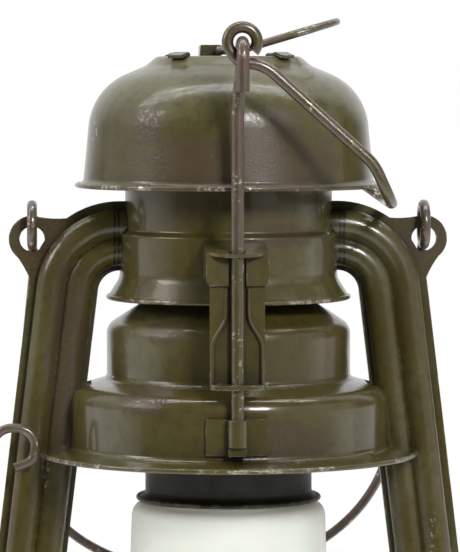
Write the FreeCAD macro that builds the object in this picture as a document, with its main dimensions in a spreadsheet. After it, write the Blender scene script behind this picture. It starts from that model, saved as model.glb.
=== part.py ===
import FreeCAD
import Part
import Sketcher
import math
import os
from types import SimpleNamespace

# Hurricane lantern in millimetres. The origin is the middle of the foot ring, on the floor.
# +Z is up, -Y is the front with the lift rod, +X and -X are the two side tubes.

DRIVING_SIZES = [
    ("fount_radius", 61.0, "fuel tank"),
    ("fount_height", 38.0, "top of the tank, where the air drum stands"),
    ("foot_radius", 55.0, "middle of the foot ring"),
    ("foot_width", 5.0, "flat part of the foot ring"),
    ("seam_height", 9.0, "joint of pan and tank shell"),
    ("tank_gauge", 0.8, "sheet of the tank"),
    ("gauge", 0.6, "sheet of the stampings"),
    ("strap_gauge", 0.8, "sheet of brackets and clips"),
    ("drum_radius", 38.0, "air drum under the burner"),
    ("drum_height", 18.0, "straight wall of the air drum"),
    ("tube_width", 18.0, "side tube across, seam edge to seam edge"),
    ("tube_depth", 6.1, "height of the outer flute over the seam"),
    ("tube_bend", 14.7, "bend radius of the side tube's middle line"),
    ("tube_flare", 6.85, "degrees that the side tube leans out"),
    ("tube_drop", 1.6, "side tube's middle line below the crown's step"),
    ("tube_low_height", 49.0, "middle line of the side tube at the drum"),
    ("seam_outer", 2.5, "width of the outer seam"),
    ("seam_inner", 1.3, "width of the inner seam"),
    ("ear_reach", 51.0, "carrying bail's eyelet from the middle"),
    ("ear_drop", 0.8, "carrying bail's eyelet below the tube's middle line"),
    ("ear_hole", 3.25, "radius of the eyelet"),
    ("ear_rim", 2.8, "metal round the eyelet"),
    ("crown_radius", 28.3, "wall of the crown chamber"),
    ("crown_neck", 26.9, "upper wall of the crown chamber"),
    ("crown_wall", 12.4, "crown's lower wall, from the skirt to the step"),
    ("crown_height", 18.0, "crown's upper wall, from the step to the top"),
    ("skirt_height", 5.0, "flared part of the crown's skirt"),
    ("crown_skirt", 31.5, "radius of the crown's skirt"),
    ("crown_cover", 8.4, "how far the crown's skirt comes down over the neck"),
    ("flue_radius", 17.0, "inner flue"),
    ("flue_overlap", 15.0, "how far the flue reaches down into the neck"),
    ("flue_rise", 10.0, "flue above the crown"),
    ("hood_radius", 37.7, "hood's wall at the rim"),
    ("hood_lip", 39.9, "hood's rim"),
    ("hood_cover", 6.4, "how far the hood's rim comes down over the crown"),
    ("hood_height", 33.3, "hood from its rim to its flat top"),
    ("hood_plateau", 18.6, "radius of the hood's flat top"),
    ("bead", 0.65, "half the thickness of a rolled edge"),
    ("cap_radius", 31.7, "storm cap's upper step"),
    ("bell_radius", 41.2, "storm cap's lower step"),
    ("flange_radius", 49.5, "storm cap's flange"),
    ("flange_rise", 12.4, "storm cap's flange above the collar's lip"),
    ("neck_height", 15.8, "storm cap's neck above its upper shoulder"),
    ("cap_height", 16.4, "upper step of the storm cap"),
    ("bell_height", 16.8, "lower step of the storm cap"),
    ("collar_radius", 21.7, "dark collar on the globe"),
    ("collar_lip", 24.1, "flared lip of the collar"),
    ("collar_cover", 4.6, "how far the collar's lip comes down over the globe"),
    ("lift_travel", 6.0, "how far the globe and the storm cap rise"),
    ("globe_radius", 25.1, "globe at its shoulder"),
    ("globe_belly", 26.9, "globe at its middle"),
    ("globe_foot", 24.6, "globe at its lower rim"),
    ("globe_neck", 20.5, "globe at its upper rim"),
    ("globe_length", 98.0, "globe from rim to rim"),
    ("glass", 1.8, "thickness of the glass"),
    ("stage_radius", 36.0, "globe plate"),
    ("stage_hole", 21.4, "hole of the globe plate round the burner"),
    ("rod_radius", 1.6, "lift rod's wire"),
    ("rod_stand", 2.8, "lift rod in front of the storm cap's lower step"),
    ("eye_rise", 3.2, "front eye of the lift bail above the hood's top"),
    ("eye_side", 0.9, "how far the old rods' hooks are bent to the right"),
    ("rear_drop", 8.1, "rear eye of the lift bail below the front one"),
    ("eye_radius", 3.65, "middle line of the lift bail's eye"),
    ("lift_wire", 1.45, "half the thickness of the lift bail's wire"),
    ("lift_reach", 41.9, "far side of the lift bail, beside the hood's rim"),
    ("lift_drop", 4.5, "far side of the lift bail below the hood's rim"),
    ("hook_gap", 0.85, "room round the eye in the rod's hook"),
    ("tail_drop", 12.3, "cut end of the rod's hook below the eye"),
    ("bracket_width", 13.8, "strap of the rod guide"),
    ("bracket_wing", 15.6, "wings of the rod guide on the crown"),
    ("bracket_drop", 2.4, "rod guide's upper plate below the crown's step"),
    ("bracket_clear", 3.6, "rod guide's lower plate above the lower step"),
    ("roof_lean", 6.0, "degrees that the guide's upper plate leans forward"),
    ("wing_height", 8.5, "height of the wings"),
    ("clip_width", 15.7, "clip of the rod on the storm cap"),
    ("clip_rise", 3.2, "rod clip above the flange"),
    ("clip_height", 9.2, "height of the rod clip"),
    ("rod_foot", 2.4, "lower end of the rod in its clip"),
    ("rod_play", 0.25, "room round the rod in its guide"),
    ("ring_wire", 0.95, "half the thickness of the hood ring's wire"),
    ("ring_reach", 31.9, "length of the hood ring"),
    ("ring_width", 26.0, "width of the hood ring"),
    ("ring_place", -2.7, "axis of the hood ring from the middle"),
    ("ring_lift", 1.5, "hood ring's axis above the hood's top"),
    ("ring_tilt", 16.5, "degrees that the hood ring stands up at rest"),
    ("ring_kink", 5.4, "bend of the hood ring from its axis"),
    ("strap_tail", 4.9, "left end of the ring's strap from the ring's axis"),
    ("strap_length", 9.0, "strap of the hood ring along its axis"),
    ("tab_reach", 17.3, "spider's tabs from the middle"),
    ("tab_width", 4.9, "spider's tabs"),
    ("tab_fold", 3.0, "length of a tab that is folded over"),
    ("bail_wire", 1.3, "half the thickness of the carrying bail's wire"),
    ("bail_eye", 5.2, "middle line of the carrying bail's eyes"),
    ("bail_rise", 3.6, "the bail's axis above the eyelet's middle"),
    ("bail_length", 112.0, "carrying bail from its axis to the grip"),
    ("bail_skew", 5.4, "how far the old bail's grip is bent to one side"),
    ("bail_lean", 29.0, "degrees that the hanging bail leans back"),
    ("lever_wire", 1.2, "half the thickness of the globe lever's wire"),
    ("lever_stand", 4.0, "globe lever's axis outside the air drum"),
    ("lever_rise", 3.5, "globe lever's axis above the side tube"),
    ("lever_plane", 10.5, "globe lever in front of the middle"),
    ("prong_reach", 3.8, "how far the lever's prong reaches in under the globe plate"),
    ("lever_out", 68.53, "lower knee of the lever from the middle"),
    ("lever_top", 61.8, "lever from the middle below its curl"),
    ("curl_rise", 1.5, "middle of the thumb curl above the flange"),
    ("curl_span", 12.6, "width of the thumb curl"),
    ("wick_width", 12.0, "flat wick across"),
    ("wick_gauge", 2.0, "thickness of the wick"),
    ("wick_top", 77.0, "burning edge of the wick"),
    ("wick_low", 19.0, "lower end of the wick"),
    ("wick_play", 0.35, "room round the wick in its tube"),
    ("spindle_radius", 1.2, "wick spindle"),
    ("spindle_height", 49.0, "wick spindle above the floor"),
    ("spur_radius", 4.5, "spur wheels on the wick spindle"),
    ("knob_radius", 8.0, "wick knob"),
    ("knob_reach", 50.0, "outer face of the wick knob"),
    ("filler_shift", 1.0, "filler out from the middle between drum and tank wall"),
    ("filler_turn", -50.0, "degrees from +X to the filler"),
    ("filler_radius", 7.2, "filler neck"),
    ("filler_top", 43.0, "upper rim of the filler neck"),
    ("filler_cap_radius", 9.0, "filler cap"),
    ("fit", 0.3, "room between pieces that move past each other"),
]

# The step round the hood's flat top
STEP_WIDTH = 2.8
STEP_FALL = 2.4
# Where the hood's slope meets its wall, inside the rim's radius and below the flat top
SLOPE_INSET = 2.3
SLOPE_FALL = 8.3
# Teeth of a spur wheel
TEETH = 14
# The angles, in degrees from +X, where the lift bail's open eye ends and where its leg leaves it
EYE_END = -40
EYE_LEAVE = 215
# A bail's leg is drawn a little thinner than its eye
WIRE_SHARE = 0.95

UP = FreeCAD.Vector(0, 0, 1)
FRONT_BACK = FreeCAD.Vector(0, 1, 0)
SIDEWAYS = FreeCAD.Vector(1, 0, 0)
ORIGIN = FreeCAD.Vector(0, 0, 0)
HALF_TURN = FreeCAD.Placement(ORIGIN, FreeCAD.Rotation(UP, 180))
UPRIGHT = FreeCAD.Placement(ORIGIN, FreeCAD.Rotation(SIDEWAYS, 90))


class Size:
    """A length with the expression that binds a property to the sheet's cells."""

    def __init__(self, value, text):
        self.value = value
        self.text = text

    def combine(self, other, sign, swapped=False):
        left, right = self, as_size(other)
        if swapped:
            left, right = right, left
        results = {
            "+": lambda: left.value + right.value,
            "-": lambda: left.value - right.value,
            "*": lambda: left.value * right.value,
            "/": lambda: left.value / right.value,
        }
        return Size(results[sign](), f"({left.text} {sign} {right.text})")

    def __add__(self, other):
        return self.combine(other, "+")

    def __radd__(self, other):
        return self.combine(other, "+", True)

    def __sub__(self, other):
        return self.combine(other, "-")

    def __rsub__(self, other):
        return self.combine(other, "-", True)

    def __mul__(self, other):
        return self.combine(other, "*")

    def __rmul__(self, other):
        return self.combine(other, "*", True)

    def __truediv__(self, other):
        return self.combine(other, "/")

    def __neg__(self):
        return 0 - self


def as_size(thing):
    if isinstance(thing, Size):
        return thing
    return Size(float(thing), f"({float(thing):.6f})")


doc = FreeCAD.newDocument("hurricane_lantern")
sheet = doc.addObject("Spreadsheet::Sheet", "Sizes")
for row, (alias, value, meaning) in enumerate(DRIVING_SIZES, start=1):
    sheet.set(f"A{row}", meaning)
    sheet.set(f"B{row}", str(value))
    sheet.setAlias(f"B{row}", alias)
doc.recompute()

size = SimpleNamespace(**{a: Size(float(sheet.get(a)), f"Sizes.{a}") for a, _, _ in DRIVING_SIZES})
mm = SimpleNamespace(**{a: float(sheet.get(a)) for a, _, _ in DRIVING_SIZES})
pieces = []


def derive(name, amount):
    """Adds a size that follows from the others."""
    setattr(size, name, amount)
    setattr(mm, name, amount.value)


derive("lever_height", size.tube_low_height + size.tube_width / 2 + size.lever_rise)
derive("stage_low", size.lever_height + size.lever_wire + 0.4)
derive("globe_low", size.stage_low + size.strap_gauge + size.fit)
derive("globe_top", size.globe_low + size.globe_length)
derive("collar_low", size.globe_top - size.collar_cover)
derive("flange_height", size.collar_low + size.flange_rise)
derive("bell_shoulder", size.flange_height + size.bell_height)
derive("cap_shoulder", size.bell_shoulder + size.cap_height)
derive("cap_neck_top", size.cap_shoulder + size.neck_height)
derive("crown_bottom", size.cap_neck_top - size.crown_cover)
derive("crown_flare", size.crown_bottom + size.skirt_height)
derive("crown_step", size.crown_flare + size.crown_wall)
derive("crown_top", size.crown_step + size.crown_height)
derive("flue_bottom", size.cap_neck_top - size.flue_overlap)
derive("flue_top", size.crown_top + size.flue_rise)
derive("hood_low", size.crown_top - size.hood_cover)
derive("tube_top_height", size.crown_step - size.tube_drop)
derive("ear_height", size.tube_top_height - size.ear_drop)
derive("bracket_top", size.crown_step - size.bracket_drop)
derive("bracket_low", size.bell_shoulder + size.bracket_clear)
derive("clip_low", size.flange_height + size.clip_rise)
derive("clip_top", size.clip_low + size.clip_height)
derive("rod_low", size.clip_low + size.rod_foot)
derive("lift_low", size.hood_low - size.lift_drop)
derive("curl_height", size.flange_height + size.curl_rise)
derive("rod_reach", size.bell_radius + size.rod_stand)
derive("lever_axis", size.drum_radius + size.lever_stand)
derive("lever_prong", size.lever_axis - size.stage_radius + size.prong_reach)
derive("hood_crown", size.hood_low + size.hood_height)
derive("eye_height", size.hood_crown + size.eye_rise)
derive("filler_place", (size.fount_radius + size.drum_radius) / 2 + size.filler_shift)


def keep(obj, label):
    """Names a finished piece; the name is its file's name too."""
    obj.Label = label
    pieces.append(obj)
    return obj


def bind(obj, **properties):
    """Sets properties to sizes and binds them to the sheet."""
    for name, amount in properties.items():
        amount = as_size(amount)
        setattr(obj, name, amount.value)
        if "Sizes." in amount.text:
            obj.setExpression(name, amount.text)
    return obj


# Sketches and the shapes made from them

def pin_point(sketch, point, across, along):
    """Fixes a point of a sketch at a place given by two sizes."""
    for amount, kind, axis in ((across, "DistanceX", -2), (along, "DistanceY", -1)):
        amount = as_size(amount)
        if abs(amount.value) < 1e-9:
            sketch.addConstraint(Sketcher.Constraint("PointOnObject", point, 1, axis))
            continue
        index = sketch.addConstraint(Sketcher.Constraint(kind, -1, 1, point, 1, amount.value))
        if "Sizes." in amount.text:
            sketch.setExpression(f"Constraints[{index}]", amount.text)


def round_corner(before, corner, after, radius):
    """Where a round of this radius leaves the two lines at a corner, and its middle."""
    into = (corner - before).normalize()
    out = (after - corner).normalize()
    turn = into.getAngle(out)
    reach = radius * math.tan(turn / 2)
    start, end = corner - into * reach, corner + out * reach
    left = FreeCAD.Vector(-into.y, into.x, 0)
    side = 1 if into.cross(out).z > 0 else -1
    return start, end, start + left * radius * side, side


def outline(sketch, corners, closed):
    """Draws straight lines through the corners and rounds those that have a radius."""
    corners = [tuple(as_size(c) for c in (tuple(corner) + (0,))[:3]) for corner in corners]
    places = [FreeCAD.Vector(c[0].value, c[1].value, 0) for c in corners]
    count = len(corners)
    marks, rounds = [], {}
    for number, (across, along, radius) in enumerate(corners):
        mark = sketch.addGeometry(Part.Point(places[number]), True)
        pin_point(sketch, mark, across, along)
        marks.append(mark)
        if radius.value > 0:
            rounds[number] = round_corner(
                places[number - 1], places[number], places[(number + 1) % count], radius.value
            )
    lines = []
    for number in range(count if closed else count - 1):
        after = (number + 1) % count
        start = rounds[number][1] if number in rounds else places[number]
        end = rounds[after][0] if after in rounds else places[after]
        line = sketch.addGeometry(Part.LineSegment(start, end))
        for mark, end_number, at in ((marks[number], 1, number), (marks[after], 2, after)):
            if at in rounds:
                sketch.addConstraint(Sketcher.Constraint("PointOnObject", mark, 1, line))
            else:
                sketch.addConstraint(Sketcher.Constraint("Coincident", line, end_number, mark, 1))
        lines.append(line)
    for number, (start, end, middle, side) in rounds.items():
        radius = corners[number][2]
        first, last = (start, end) if side > 0 else (end, start)
        angles = [math.atan2((p - middle).y, (p - middle).x) for p in (first, last)]
        if angles[1] < angles[0]:
            angles[1] += 2 * math.pi
        arc = sketch.addGeometry(
            Part.ArcOfCircle(Part.Circle(middle, UP, radius.value), angles[0], angles[1])
        )
        into, out = lines[number - 1], lines[number % len(lines)]
        ends = (1, 2) if side > 0 else (2, 1)
        sketch.addConstraint(Sketcher.Constraint("Tangent", into, 2, arc, ends[0]))
        sketch.addConstraint(Sketcher.Constraint("Tangent", arc, ends[1], out, 1))
        index = sketch.addConstraint(Sketcher.Constraint("Radius", arc, radius.value))
        if "Sizes." in radius.text:
            sketch.setExpression(f"Constraints[{index}]", radius.text)


def corner_marks(sketch, corners):
    """Pins a construction point at each corner and returns sizes, places and points."""
    corners = [tuple(as_size(c) for c in (tuple(corner) + (0,))[:3]) for corner in corners]
    places = [FreeCAD.Vector(c[0].value, c[1].value, 0) for c in corners]
    marks = []
    for (across, along, _), place in zip(corners, places):
        mark = sketch.addGeometry(Part.Point(place), True)
        pin_point(sketch, mark, across, along)
        marks.append(mark)
    return corners, places, marks


def add_round(sketch, into, out, corner_places, radius):
    """Rounds the corner between two lines of a sketch with an arc of a bound radius."""
    start, end, middle, side = round_corner(*corner_places, radius.value)
    first, last = (start, end) if side > 0 else (end, start)
    angles = [math.atan2((p - middle).y, (p - middle).x) for p in (first, last)]
    if angles[1] < angles[0]:
        angles[1] += 2 * math.pi
    circle = Part.Circle(middle, UP, radius.value)
    arc = sketch.addGeometry(Part.ArcOfCircle(circle, angles[0], angles[1]))
    ends = (1, 2) if side > 0 else (2, 1)
    sketch.addConstraint(Sketcher.Constraint("Tangent", into, 2, arc, ends[0]))
    sketch.addConstraint(Sketcher.Constraint("Tangent", arc, ends[1], out, 1))
    index = sketch.addConstraint(Sketcher.Constraint("Radius", arc, radius.value))
    if "Sizes." in radius.text:
        sketch.setExpression(f"Constraints[{index}]", radius.text)


def offset_places(places, distance):
    """The corners of a line of straight runs moved sideways, to the left if positive."""
    lefts = []
    for start, end in zip(places, places[1:]):
        run = (end - start).normalize()
        lefts.append(FreeCAD.Vector(-run.y, run.x, 0))
    moved = [places[0] + lefts[0] * distance]
    for place, before, after in zip(places[1:-1], lefts, lefts[1:]):
        middle = before + after
        moved.append(place + middle * (2 * distance / middle.dot(middle)))
    moved.append(places[-1] + lefts[-1] * distance)
    return moved


def band(sketch, corners, wall, side):
    """A closed band: an open outline and a second one beside it at the wall's distance."""
    corners, places, marks = corner_marks(sketch, corners)
    count = len(corners)
    wall = as_size(wall)
    near_rounds, far_rounds = {}, {}
    far = offset_places(places, side * wall.value)
    for number in (0, count - 1):
        if abs(places[number].x) < 1e-9:
            near, other = places[number], places[1 if number == 0 else count - 2]
            slope = (other.y - near.y) / (other.x - near.x)
            start = far[number]
            far[number] = FreeCAD.Vector(0, start.y - slope * start.x, 0)
    for number in range(1, count - 1):
        radius = corners[number][2]
        if radius.value <= 0:
            continue
        trio = (places[number - 1], places[number], places[number + 1])
        turn = round_corner(*trio, radius.value)[3]
        near_rounds[number] = (trio, radius)
        far_radius = radius - wall if turn == side else radius + wall
        if far_radius.value > 0.01:
            far_trio = (far[number - 1], far[number], far[number + 1])
            far_rounds[number] = (far_trio, far_radius)

    def draw_lines(points, rounds):
        lines = []
        for number in range(count - 1):
            start, end = points[number], points[number + 1]
            if number in rounds:
                start = round_corner(*rounds[number][0], rounds[number][1].value)[1]
            if number + 1 in rounds:
                end = round_corner(*rounds[number + 1][0], rounds[number + 1][1].value)[0]
            lines.append(sketch.addGeometry(Part.LineSegment(start, end)))
        return lines

    near_lines = draw_lines(places, near_rounds)
    far_lines = draw_lines(far, far_rounds)
    for number, line in enumerate(near_lines):
        for at, end_number in ((number, 1), (number + 1, 2)):
            if at in near_rounds:
                sketch.addConstraint(Sketcher.Constraint("PointOnObject", marks[at], 1, line))
            else:
                joint = Sketcher.Constraint("Coincident", line, end_number, marks[at], 1)
                sketch.addConstraint(joint)
        sketch.addConstraint(Sketcher.Constraint("Parallel", line, far_lines[number]))
        gap = Sketcher.Constraint("Distance", far_lines[number], 1, line, wall.value)
        index = sketch.addConstraint(gap)
        if "Sizes." in wall.text:
            sketch.setExpression(f"Constraints[{index}]", wall.text)
    for number in range(1, count - 1):
        for lines, rounds in ((near_lines, near_rounds), (far_lines, far_rounds)):
            if number in rounds:
                add_round(sketch, lines[number - 1], lines[number], *rounds[number])
            elif lines is far_lines:
                joint = Sketcher.Constraint("Coincident", lines[number - 1], 2, lines[number], 1)
                sketch.addConstraint(joint)
    for number, end_number in ((0, 1), (count - 1, 2)):
        at = min(number, count - 2)
        cap = sketch.addGeometry(Part.LineSegment(places[number], far[number]))
        sketch.addConstraint(Sketcher.Constraint("Coincident", cap, 1, marks[number], 1))
        sketch.addConstraint(Sketcher.Constraint("Coincident", cap, 2, far_lines[at], end_number))
        if abs(places[number].x) < 1e-9:
            sketch.addConstraint(Sketcher.Constraint("PointOnObject", far_lines[at], end_number, -2))
        else:
            sketch.addConstraint(Sketcher.Constraint("Perpendicular", cap, near_lines[at]))


def spun_shell(label, corners, wall, side=-1):
    """Sheet spun about the vertical axis. The wall lies to the right of the outline's way."""
    sketch = doc.addObject("Sketcher::SketchObject", label + "_outline")
    sketch.Placement = UPRIGHT
    band(sketch, corners, wall, side)
    doc.recompute()
    return spin(label, sketch)


def spin(label, source):
    spun = doc.addObject("Part::Revolution", label + "_spun")
    spun.Source = source
    spun.Axis = UP
    spun.Base = ORIGIN
    spun.Angle = 360
    spun.Solid = True
    doc.recompute()
    return spun


def origin_plane(body, role):
    return next(f for f in body.Origin.OriginFeatures if f.Role == role)


def new_body(label):
    return doc.addObject("PartDesign::Body", label + "_body")


def body_sketch(body, name, role, corners):
    sketch = body.newObject("Sketcher::SketchObject", name)
    sketch.AttachmentSupport = (origin_plane(body, role), "")
    sketch.MapMode = "FlatFace"
    outline(sketch, corners, closed=True)
    doc.recompute()
    return sketch


def turned_body(label, corners):
    """A turned piece: a body with one closed outline revolved about the vertical axis."""
    body = new_body(label)
    sketch = body_sketch(body, label + "_outline", "XZ_Plane", corners)
    turned = body.newObject("PartDesign::Revolution", label + "_turned")
    turned.Profile = sketch
    turned.ReferenceAxis = (sketch, ["V_Axis"])
    turned.Angle = 360
    doc.recompute()
    return body


def ring_of_pockets(body, name, corners, count, depth_from, depth):
    """Cuts one shape through the body from above and repeats it about the vertical axis."""
    sketch = body_sketch(body, name + "_shape", "XY_Plane", corners)
    lift = as_size(depth_from)
    sketch.AttachmentOffset = FreeCAD.Placement(FreeCAD.Vector(0, 0, lift.value), FreeCAD.Rotation())
    if "Sizes." in lift.text:
        sketch.setExpression("AttachmentOffset.Base.z", lift.text)
    doc.recompute()
    pocket = body.newObject("PartDesign::Pocket", name + "_pocket")
    pocket.Profile = sketch
    bind(pocket, Length=depth)
    doc.recompute()
    pattern = body.newObject("PartDesign::PolarPattern", name + "_pattern")
    pattern.Originals = [pocket]
    pattern.Axis = (origin_axis(body, "Z_Axis"), [""])
    pattern.Angle = 360
    pattern.Occurrences = count
    body.Tip = pattern
    doc.recompute()
    return pattern


def origin_axis(body, role):
    return next(f for f in body.Origin.OriginFeatures if f.Role == role)


def box(name, low, high):
    """A Part box between two corners given as sizes."""
    low, high = [as_size(v) for v in low], [as_size(v) for v in high]
    block = doc.addObject("Part::Box", name)
    bind(block, Length=high[0] - low[0], Width=high[1] - low[1], Height=high[2] - low[2])
    block.Placement = FreeCAD.Placement(FreeCAD.Vector(*[v.value for v in low]), FreeCAD.Rotation())
    for axis, amount in zip("xyz", low):
        if "Sizes." in amount.text:
            block.setExpression(f"Placement.Base.{axis}", amount.text)
    return block


def cylinder(name, radius, height, base, direction=UP):
    """A Part cylinder from a base point given as sizes, along a direction."""
    base = [as_size(v) for v in base]
    drum = doc.addObject("Part::Cylinder", name)
    bind(drum, Radius=radius, Height=height)
    drum.Placement = FreeCAD.Placement(
        FreeCAD.Vector(*[v.value for v in base]), FreeCAD.Rotation(UP, direction)
    )
    for axis, amount in zip("xyz", base):
        if "Sizes." in amount.text:
            drum.setExpression(f"Placement.Base.{axis}", amount.text)
    return drum


def torus(name, radius, thickness, height):
    rolled = doc.addObject("Part::Torus", name)
    bind(rolled, Radius1=radius, Radius2=thickness)
    height = as_size(height)
    rolled.Placement = FreeCAD.Placement(FreeCAD.Vector(0, 0, height.value), FreeCAD.Rotation())
    if "Sizes." in height.text:
        rolled.setExpression("Placement.Base.z", height.text)
    return rolled


def fuse(name, *shapes):
    joined = doc.addObject("Part::MultiFuse", name)
    joined.Shapes = list(shapes)
    joined.Refine = True
    doc.recompute()
    return joined


def cut(name, base, *tools):
    for number, tool in enumerate(tools):
        result = doc.addObject("Part::Cut", f"{name}_{number}")
        result.Base = base
        result.Tool = tool
        base = result
    doc.recompute()
    return base


def common(name, first, second):
    result = doc.addObject("Part::Common", name)
    result.Base = first
    result.Tool = second
    doc.recompute()
    return result


# Wires that are bent to shape

def bent_path(points, bends):
    """Straight runs through the points, with a bend of its own radius at each inner point."""
    edges, start = [], points[0]
    for before, corner, after, radius in zip(points, points[1:], points[2:], bends):
        into, out = (corner - before).normalize(), (after - corner).normalize()
        turn = into.getAngle(out)
        reach = radius * math.tan(turn / 2)
        first, last = corner - into * reach, corner + out * reach
        middle = corner + (out - into).normalize() * (radius / math.cos(turn / 2))
        halfway = middle + (corner - middle).normalize() * radius
        if start.distanceToPoint(first) > 1e-6:
            edges.append(Part.LineSegment(start, first).toShape())
        edges.append(Part.Arc(first, halfway, last).toShape())
        start = last
    edges.append(Part.LineSegment(start, points[-1]).toShape())
    return edges


def drawn_wire(edges, radius):
    """Round wire along a path of tangent edges, the first of which is a straight run or an arc."""
    path = Part.Wire(edges)
    first = edges[0]
    start = first.valueAt(first.FirstParameter)
    direction = first.tangentAt(first.FirstParameter)
    section = Part.Wire(Part.makeCircle(radius, start, direction))
    return path.makePipeShell([section], True, False)


def wire_piece(label, shape):
    feature = doc.addObject("Part::Feature", label + "_wire")
    feature.Shape = shape
    return keep(feature, label)


# Tank

def make_fount():
    wall = size.tank_gauge
    inner_foot = size.foot_radius - size.foot_width / 2
    outer_foot = size.foot_radius + size.foot_width / 2
    pan = spun_shell("fount_pan", [
        (0, 3.4),
        (inner_foot - 2, 3.4, 1.2),
        (inner_foot, 0, 1.2),
        (outer_foot, 0, 1.6),
        (size.fount_radius, size.seam_height - 3.4, 1.6),
        (size.fount_radius, size.seam_height),
    ], wall, side=1)
    seam = torus("fount_seam", size.fount_radius, size.bead, size.seam_height - size.bead)
    keep(fuse("fount_pan_whole", pan, seam), "fount_pan")
    collar_hole = size.wick_width / 2 + 8
    shell = spun_shell("fount_shell", [
        (size.fount_radius, size.seam_height),
        (size.fount_radius, size.fount_height - 9, 8),
        (size.drum_radius + 4, size.fount_height, 14),
        (collar_hole, size.fount_height),
    ], wall, side=1)
    turn = math.radians(mm.filler_turn)
    place = (size.filler_place * math.cos(turn), size.filler_place * math.sin(turn))
    hole = cylinder("filler_hole", size.filler_radius, 30, (*place, size.fount_height - 20))
    keep(cut("fount_shell_cut", shell, hole), "fount_shell")
    neck = cylinder("filler_pipe", size.filler_radius, size.filler_top - size.fount_height + 10,
                    (*place, size.fount_height - 10))
    bore = cylinder("filler_bore", size.filler_radius - 1, 40, (*place, size.fount_height - 20))
    keep(cut("filler_neck_cut", neck, bore), "filler_neck")


def make_filler_cap():
    turn = math.radians(mm.filler_turn)
    place = FreeCAD.Placement(
        FreeCAD.Vector(mm.filler_place * math.cos(turn), mm.filler_place * math.sin(turn), 0),
        FreeCAD.Rotation(),
    )
    rim = size.filler_top
    inner = size.filler_radius + size.fit * 2
    body = turned_body("filler_cap", [
        (0, rim + 1.4),
        (inner, rim + 1.4),
        (inner, rim - 3.6),
        (size.filler_cap_radius, rim - 3.6),
        (size.filler_cap_radius, rim + 2.6, 1.0),
        (0, rim + 2.6),
    ])
    notch = size.filler_cap_radius - 0.5
    ring_of_pockets(body, "filler_grip", [
        (notch, -0.5), (notch + 2, -0.9), (notch + 2, 0.9), (notch, 0.5),
    ], 18, rim + 1.4, 5.2)
    body.Placement = place
    keep(body, "filler_cap")
    seal = turned_body("filler_seal", [
        (0, rim + 0.05), (size.filler_radius - 0.2, rim + 0.05),
        (size.filler_radius - 0.2, rim + 1.35), (0, rim + 1.35),
    ])
    seal.Placement = place
    keep(seal, "filler_seal")


# Air drum, burner and wick

def make_drum():
    low = size.fount_height
    wall_top = low + size.drum_height
    drum = spun_shell("air_drum", [
        (size.drum_radius + 2.4, low + size.gauge),
        (size.drum_radius, low + size.gauge, 0.8),
        (size.drum_radius, wall_top, 2.5),
        (size.stage_hole + 8, wall_top + 2.6, 1.5),
        (size.stage_hole - 0.6, wall_top + 2.6),
    ], size.gauge, side=1)
    inner_width = size.tube_width - size.seam_outer - size.seam_inner
    tools = [
        tube_mouth("drum_mouth", inner_width, size.tube_low_height, size.drum_radius),
        cylinder("spindle_port", size.spindle_radius + 1.6, 12,
                 (spindle_side(), -(size.drum_radius + 6), size.spindle_height), FRONT_BACK),
    ]
    keep(cut("air_drum_cut", drum, *tools), "air_drum")
    bush = cylinder("bush_outer", size.spindle_radius + 1.6, 4.4,
                    (spindle_side(), -(size.drum_radius + 1.8), size.spindle_height), FRONT_BACK)
    bore = cylinder("bush_bore", size.spindle_radius + 0.05, 8,
                    (spindle_side(), -(size.drum_radius + 3), size.spindle_height), FRONT_BACK)
    keep(cut("spindle_bush_cut", bush, bore), "spindle_bush")


def tube_mouth(name, width, height, reach):
    """A flattened port through both sides of a drum, as wide as the side tubes' bore."""
    depth = (size.tube_depth - size.gauge) * 2
    port = box(name + "_block", (-(reach + 8), -(depth / 2) + 1.2, height - width / 2 + 1.2),
               (reach + 8, depth / 2 - 1.2, height + width / 2 - 1.2))
    gap = box(name + "_gap", (-(reach - 8), -depth, height - width),
              (reach - 8, depth, height + width))
    return cut(name, port, gap)


def spindle_side():
    return size.wick_gauge / 2 + size.wick_play + size.spur_radius


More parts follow.
